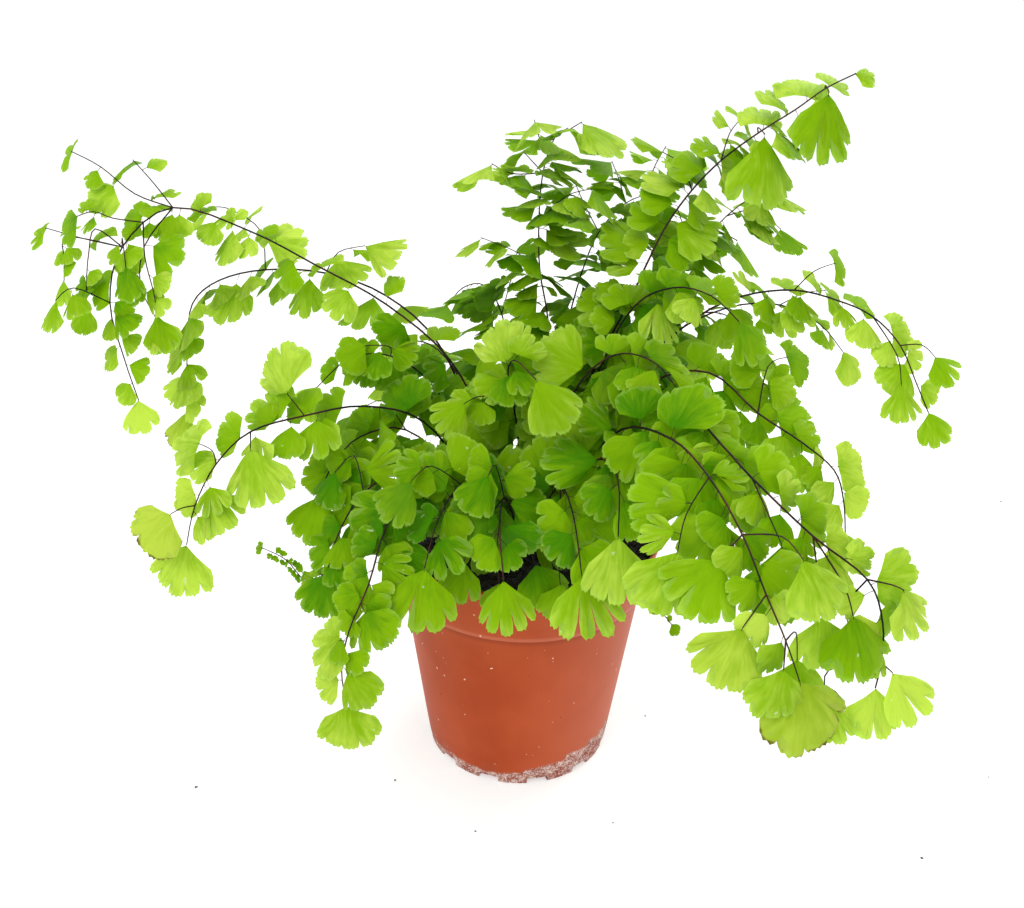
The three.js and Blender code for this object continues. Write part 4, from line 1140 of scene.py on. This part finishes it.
# Small pale flecks on the upper side of some leaflets.
fleck = noise(leaf_tree, 330.0, 1.0).step(0.765, 0.785) * (1 - under)
body = coated(
    leaf_tree, GREEN_DEEP, (tone.step(0.0, 0.55), GREEN_FRESH), (tone.step(0.5, 1.0), GREEN_BRIGHT),
    (ribs * 0.13, RIB_GREEN), (margin * 0.26, MARGIN_GREEN), (under * 0.45, UNDER_GREEN), (dry * 0.6, DRY_OLIVE),
    (scorch, SCORCH_BROWN), (fleck * 0.6, PALE_FLECK))
feed_all(leaf_tree, blade, Base_Color=body, Roughness=0.40 + 0.22 * mottle_and_sheen + 0.15 * under,
         Normal=bump(leaf_tree, 0.15 * ribs + 0.9 * streak + 0.5 * patch, 0.35, 0.0006),
         Specular_IOR_Level=0.18, Specular_Tint=SHINE_GREEN)
glow = blend_colours(leaf_tree, 0.55, body, GLOW_GREEN)
through = add_node(leaf_tree, "ShaderNodeBsdfTranslucent", Color=glow)
mixed = add_node(leaf_tree, "ShaderNodeMixShader", Fac=0.52)
for socket, value in ((mixed.inputs[1], blade), (mixed.inputs[2], through),
                      (leaf_tree.nodes["Material Output"].inputs["Surface"], mixed)):
    feed(leaf_tree, socket, value)
print("leaf nodes:", len(leaf_tree.nodes))

# %% Wire finish
WIRE_BLACK, WIRE_RED = (0.009, 0.005, 0.004), (0.050, 0.014, 0.008)
wiry, wire_tree, wire_finish = new_material("black_wire")
feed_all(wire_tree, wire_finish,
         Base_Color=blend_colours(wire_tree, noise(wire_tree, 70.0).step(0.4, 0.7), WIRE_BLACK, WIRE_RED),
         Roughness=0.45 + 0.2 * noise(wire_tree, 300.0), Specular_IOR_Level=0.15)
print("wire nodes:", len(wire_tree.nodes))

# %% [markdown]
# ## More leaflets than the solids carry
# The solids carry the large leaflets. Between them the plant holds many smaller ones, which fill the gaps and make
# its edge soft. They follow the same rule, closer together, and find what room is left. A few short sprigs come
# first: leaflets that lean over the rim, more at the top and at both sides, and two tiny new shoots. Each sprig
# below lists its leaflets as a frond does, how far they hang, and its points. It grows from the nearest stem.

# %% Short sprigs
SPRIGS = [
    [[60, 9, 15, 16], 1.2, [[0, -60, 134], [5, -62, 123]]],
    [[60, 9, 15, 15], 1.2, [[-17, -60, 134], [-21, -63, 124]]],
    [[60, 9, 12, 13], 1.2, [[-9, -64, 130], [-8, -66, 117]]],
    [[60, 9, 14, 15], 1.2, [[22, -60, 136], [27, -61, 124]]],
    [[60, 9, 14, 15], 1.2, [[-34, -54, 134], [-39, -55, 124]]],
    [[60, 9, 13, 14], 1.2, [[13, -63, 130], [14, -67, 118]]],
    [[5, 6, 17, 18], 0.6, [[3, 26, 262], [0, 22, 270]]],
    [[5, 6, 17, 19], 0.6, [[12, 22, 266], [18, 16, 270]]],
    [[5, 7, 16, 17], 0.6, [[-8, 22, 250], [-16, 18, 254]]],
    [[5, 7, 17, 18], 0.6, [[50, 46, 250], [54, 42, 260]]],
    [[5, 7, 16, 17], 0.6, [[36, 44, 246], [32, 38, 254]]],
    [[60, 9, 15, 16], 1.2, [[84, -124, 158], [86, -127, 147]]],
    [[60, 9, 14, 15], 1.2, [[79, -128, 142], [80, -130, 134]]],
    [[60, 9, 14, 15], 1.2, [[92, -127, 150], [96, -129, 141]]],
    [[60, 9, 13, 14], 1.2, [[90, -129, 130], [90, -131, 122]]],
    [[4, 7, 13, 13], 0.9, [[-137, -28, 224], [-134, -32, 213], [-133, -33, 204]]],
    [[4, 7, 12, 12], 0.9, [[-145, -26, 230], [-143, -31, 221]]],
    [[4, 6, 11, 11], 0.9, [[-160, -14, 231], [-163, -16, 222], [-165, -17, 212], [-166, -18, 203]]],
    [[4, 6, 10, 10], 0.9, [[-173, -10, 227], [-175, -11, 219], [-176, -12, 211]]],
    [[4, 7, 11, 12], 0.7, [[-150, -20, 236], [-157, -19, 238], [-164, -18, 236]]],
    [[5, 8, 13, 14], 0.5, [[-138, -9, 247], [-145, -8, 255]]],
    [[3, 4, 4.5, 5], 1.0, [[46, -40, 99], [51, -40, 95], [57, -40, 89], [61, -40, 84]]],
    [[3, 4, 4.5, 5], 1.0, [[-86, -40, 100], [-93, -40, 109], [-102, -40, 114]]],
]
for leaves, hang, points in SPRIGS:
    points = arrows(points)
    parent = min((s for s in stems if not s["twig"]),
                 key=lambda s: min(np.linalg.norm(p - points[0]) for p in s["way"][2:]))
    start = min(parent["path"], key=lambda p: np.linalg.norm(p - points[0]))
    add_stem(parent["frond"], [start, *points], leaves, hang)
print("sprigs on:", [FRONDS[s["frond"]][0] for s in stems[-len(SPRIGS):]])

# %% Small leaflets between the large ones
# The far fronds are sparse: they take fewer small leaflets, and only towards their tips.
SPARSE = ("left_far", "left_second", "left_low", "right_far")
SPRIG_KEY, SMALL_KEY = 900, 100
extra = []
plans = [make_leaf(stem, path_length(stem["path"]) - TIP_BACK, 0, SPRIG_KEY + number, stem["leaves"][3])
         for number, stem in enumerate(stems[-len(SPRIGS):])]
add_leaflets(extra, plans, SPRIG_FIT, leaflets)
print(len(extra), "leaflets at the ends of sprigs")
plans = []
for number, stem in enumerate(stems):
    first, spacing, base, _ = stem["leaves"]
    total = path_length(stem["path"])
    places = max(math.floor((total - first) / spacing), 0)
    fill = 2 if FRONDS[stem["frond"]][0] in SPARSE else 3
    for i in range(fill * places):
        k = SMALL_KEY + 70 * (number % 7) + i
        at = first + spacing * (i + 0.5 + 0.4 * draw(stem["frond"], k, ASK_SMALL_PLACE)) / fill
        if at < total - TIP_CLEAR and (fill == 3 or at > 0.6 * total):
            plan = make_leaf(stem, at, 1 if i % 2 else -1, k, base * (0.82 - 0.2 * i / (fill * places)))
            plan["swing"] += 0.6 * (draw(stem["frond"], k, ASK_SMALL_SWING) - 0.5)
            plans.append(plan)
add_leaflets(extra, plans, SMALL_FIT, leaflets)
print(len(extra), "small leaflets added")

# %% [markdown]
# ## How green each leaflet is
# Chance alone would spot the plant evenly. On the real one the leaflets that stand out in the light are yellower,
# those deep in the crowd are darker and bluer, and a few hanging tips are tired and brown at the rim. So each
# leaflet's green is its own draw with painted light and shade laid on it: painted lighter by how far out and how
# high it stands, and painted darker, as shade, by how many others stand round it and where it leans over the pot's
# rim into the plant's own shadow.

# %% Smooth wires and the crowd round each leaflet
CROWD_REACH, CROWD_FEW, CROWD_SPAN = 26.0, 6, 18


def share(value, low, high):
    """Where a value lies between low and high, from 0 to 1."""
    return min(max((value - low) / (high - low), 0), 1)


def fine_path(points):
    """The smooth line that the wire follows, point by point."""
    out = []
    for i in range(len(points) - 1):
        p = [points[j] for j in (max(i - 1, 0), i, i + 1, min(i + 2, len(points) - 1))]
        for k in np.linspace(0, 1, 8, endpoint=False):
            out.append(0.5 * (2 * p[1] + (p[2] - p[0]) * k + (2 * p[0] - 5 * p[1] + 4 * p[2] - p[3]) * k * k
                              + (3 * p[1] - p[0] - 3 * p[2] + p[3]) * k ** 3))
    return np.array([*out, points[-1]])


for stem in stems:
    stem["fine"] = fine_path(stem["way"])
middles = np.array([leaf["root"] + 0.6 * leaf["size"] * leaf["out"] for leaf in leaflets + extra])
near = (np.linalg.norm(middles[:, None] - middles[None], axis=2) < CROWD_REACH).sum(axis=1)
for leaf, others in zip(leaflets + extra, near):
    leaf["crowd"] = share(others, CROWD_FEW, CROWD_FEW + CROWD_SPAN)
print("leaflets within reach of one:", np.percentile(near, (10, 50, 90)))

# %% The numbers of each leaflet
LEAF_NUMBERS = ("size", "spread", "skew", "cup", "wave", "phase", "key", "stalk", "droop", "deep",
                "shade", "dry", "blank")
LEAF_ARROWS = ("out", "face", "root")
# The leaf finish reads five of the numbers. The others have done their work once the shape is made.
PAINTED = {"shade", "dry", "t", "u", "layer"}
WORKING = {"thick", "is_leaf", *LEAF_ARROWS, *LEAF_NUMBERS, *BLANK_LABELS} - PAINTED


def leaf_numbers(leaf):
    f, k = leaf["frond"], leaf["key"]
    x, y, z = leaf["root"]
    shape = {label: leaf[label] for label in ("spread", "skew", "cup", "wave", "phase")}
    outward = share(math.hypot(x, y), 0, 150)
    low, high = 1 - share(z, 100, 230), share(z, 200, 270)
    tired = outward > 0.8 and z < 150
    over_rim = 1 - share(abs(x), 0, 90) if y < -45 and z < 150 else 0
    many = 3 if leaf["size"] < 11 else 4 if leaf["size"] < 17 else 5
    return {**shape, "size": leaf["size"] * MM, "key": 1000.0 * f + k,
            "stalk": 0.05 if leaf["tip"] else 0.12 + 0.10 * draw(f, k, ASK_STALK),
            "droop": 0.02 + 0.13 * draw(f, k, ASK_DROOP),
            "deep": 0.55 + 1.35 * draw(f, k, ASK_DEPTH) ** 2,
            # Painted light and shade: leaflets far out, low and far out, or high near the middle are painted lighter;
            # crowded ones and those over the rim are painted darker. The draw is the leaflet's own tone.
            "shade": (0.39 - 0.10 * leaf["tip"] + 0.42 * draw(f, k, ASK_SHADE)
                      + 0.12 * outward + 0.30 * low * outward ** 3 + 0.30 * high * (1 - outward)
                      - 0.34 * leaf["crowd"] * (1 - 0.6 * high) - 0.22 * over_rim),
            "dry": (1.6 if tired else 8) * max(draw(f, k, ASK_DRY) - (0.66 if tired else 0.97), 0),
            "blank": many - 3 if draw(f, k, ASK_LOBES) < 0.7 else min(many - 2, 2)}


print("shade of the first leaflet:", round(leaf_numbers(leaflets[0])["shade"], 2))

# %% [markdown]
# ## Putting each frond together
# Each frond's lines and points go through the tree once and come out as one plain mesh, which stands for that
# frond's solid. A stalk starts on the smooth wire, at the place nearest to the leaflet's root.

# %% Fronds
# Half thicknesses of the wires from foot to tip, in millimetres.
STEM_THICK, TWIG_THICK, STALK_THICK = (0.58, 0.22), (0.27, 0.17), (0.13, 0.09, 0.08)
TAPER, STALK_ARCH = 0.8, 0.06


def frond_piece(number, name):
    points, edges, thick = [], [], []

    def line_through(path, radii):
        start = len(points)
        points.extend(path)
        thick.extend(radii)
        edges.extend((start + i, start + i + 1) for i in range(len(path) - 1))

    own = [stem for stem in stems if stem["frond"] == number]
    for stem in own:
        n = len(stem["way"])
        foot, tip = TWIG_THICK if stem["twig"] else STEM_THICK
        line_through(stem["way"], [foot + (tip - foot) * (i / (n - 1)) ** TAPER for i in range(n)])
    leaves = [leaf for leaf in leaflets + extra if leaf["frond"] == number]
    sheets = [leaf_numbers(leaf) for leaf in leaves]
    for leaf, numbers in zip(leaves, sheets):
        wire = leaf["stem"]["fine"]
        start = wire[np.argmin(np.linalg.norm(wire - leaf["root"], axis=1))]
        end = leaf["root"] + leaf["out"] * (numbers["stalk"] + 0.04) * leaf["size"]
        middle = (start + end) / 2 + np.array([0, 0, STALK_ARCH]) * np.linalg.norm(end - start)
        line_through([start, middle, end], STALK_THICK)
    wires = len(points)
    points.extend(leaf["root"] for leaf in leaves)
    seedling = piece_from(name, points, [], [], edges)
    mesh = seedling.data
    give(mesh, "thick", [r * MM for r in thick] + [0] * len(leaves))
    leafy = mesh.attributes.new("is_leaf", "BOOLEAN", "POINT")
    leafy.data.foreach_set("value", [i >= wires for i in range(len(points))])
    for label in LEAF_NUMBERS:
        give(mesh, label, [0] * wires + [numbers[label] for numbers in sheets])
    for label in ("out", "face"):
        give(mesh, label, [(0, 0, 0)] * wires + [leaf[label] for leaf in leaves], kind="FLOAT_VECTOR")
    give(mesh, "root", [(0, 0, 0)] * wires + [leaf["root"] * MM for leaf in leaves], kind="FLOAT_VECTOR")
    made = grown(seedling, tree, {"Blanks": blanks, "Stem sides": 6, "Blade thickness": 0.00024, "Slit depth": 0.26,
                                  "Blade": green, "Wire": wiry, "Seed": 5}, name)
    for label in [a.name for a in made.data.attributes if a.name in WORKING]:
        made.data.attributes.remove(made.data.attributes[label])
    return made


fronds = {}
for number, (name, *_) in enumerate(FRONDS):
    fronds[name] = frond_piece(number, f"fine_{name}")
print("faces in fronds:", sum(len(o.data.polygons) for o in fronds.values()))

# %% [markdown]
# ## Standing for the solids
# Each finished piece now takes the place of its solid and rides on the one body of the plant.

# %% Hand over
for name, made in fronds.items():
    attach(made, "root")
    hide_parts(f"frond_{name}")
for made, node, slot in ((pot, "pot", "pot"), (soil, "soil", "soil")):
    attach(made, "root")
    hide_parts(node)
for blank in list(blanks.objects):
    bpy.data.objects.remove(blank)
bpy.data.collections.remove(blanks)
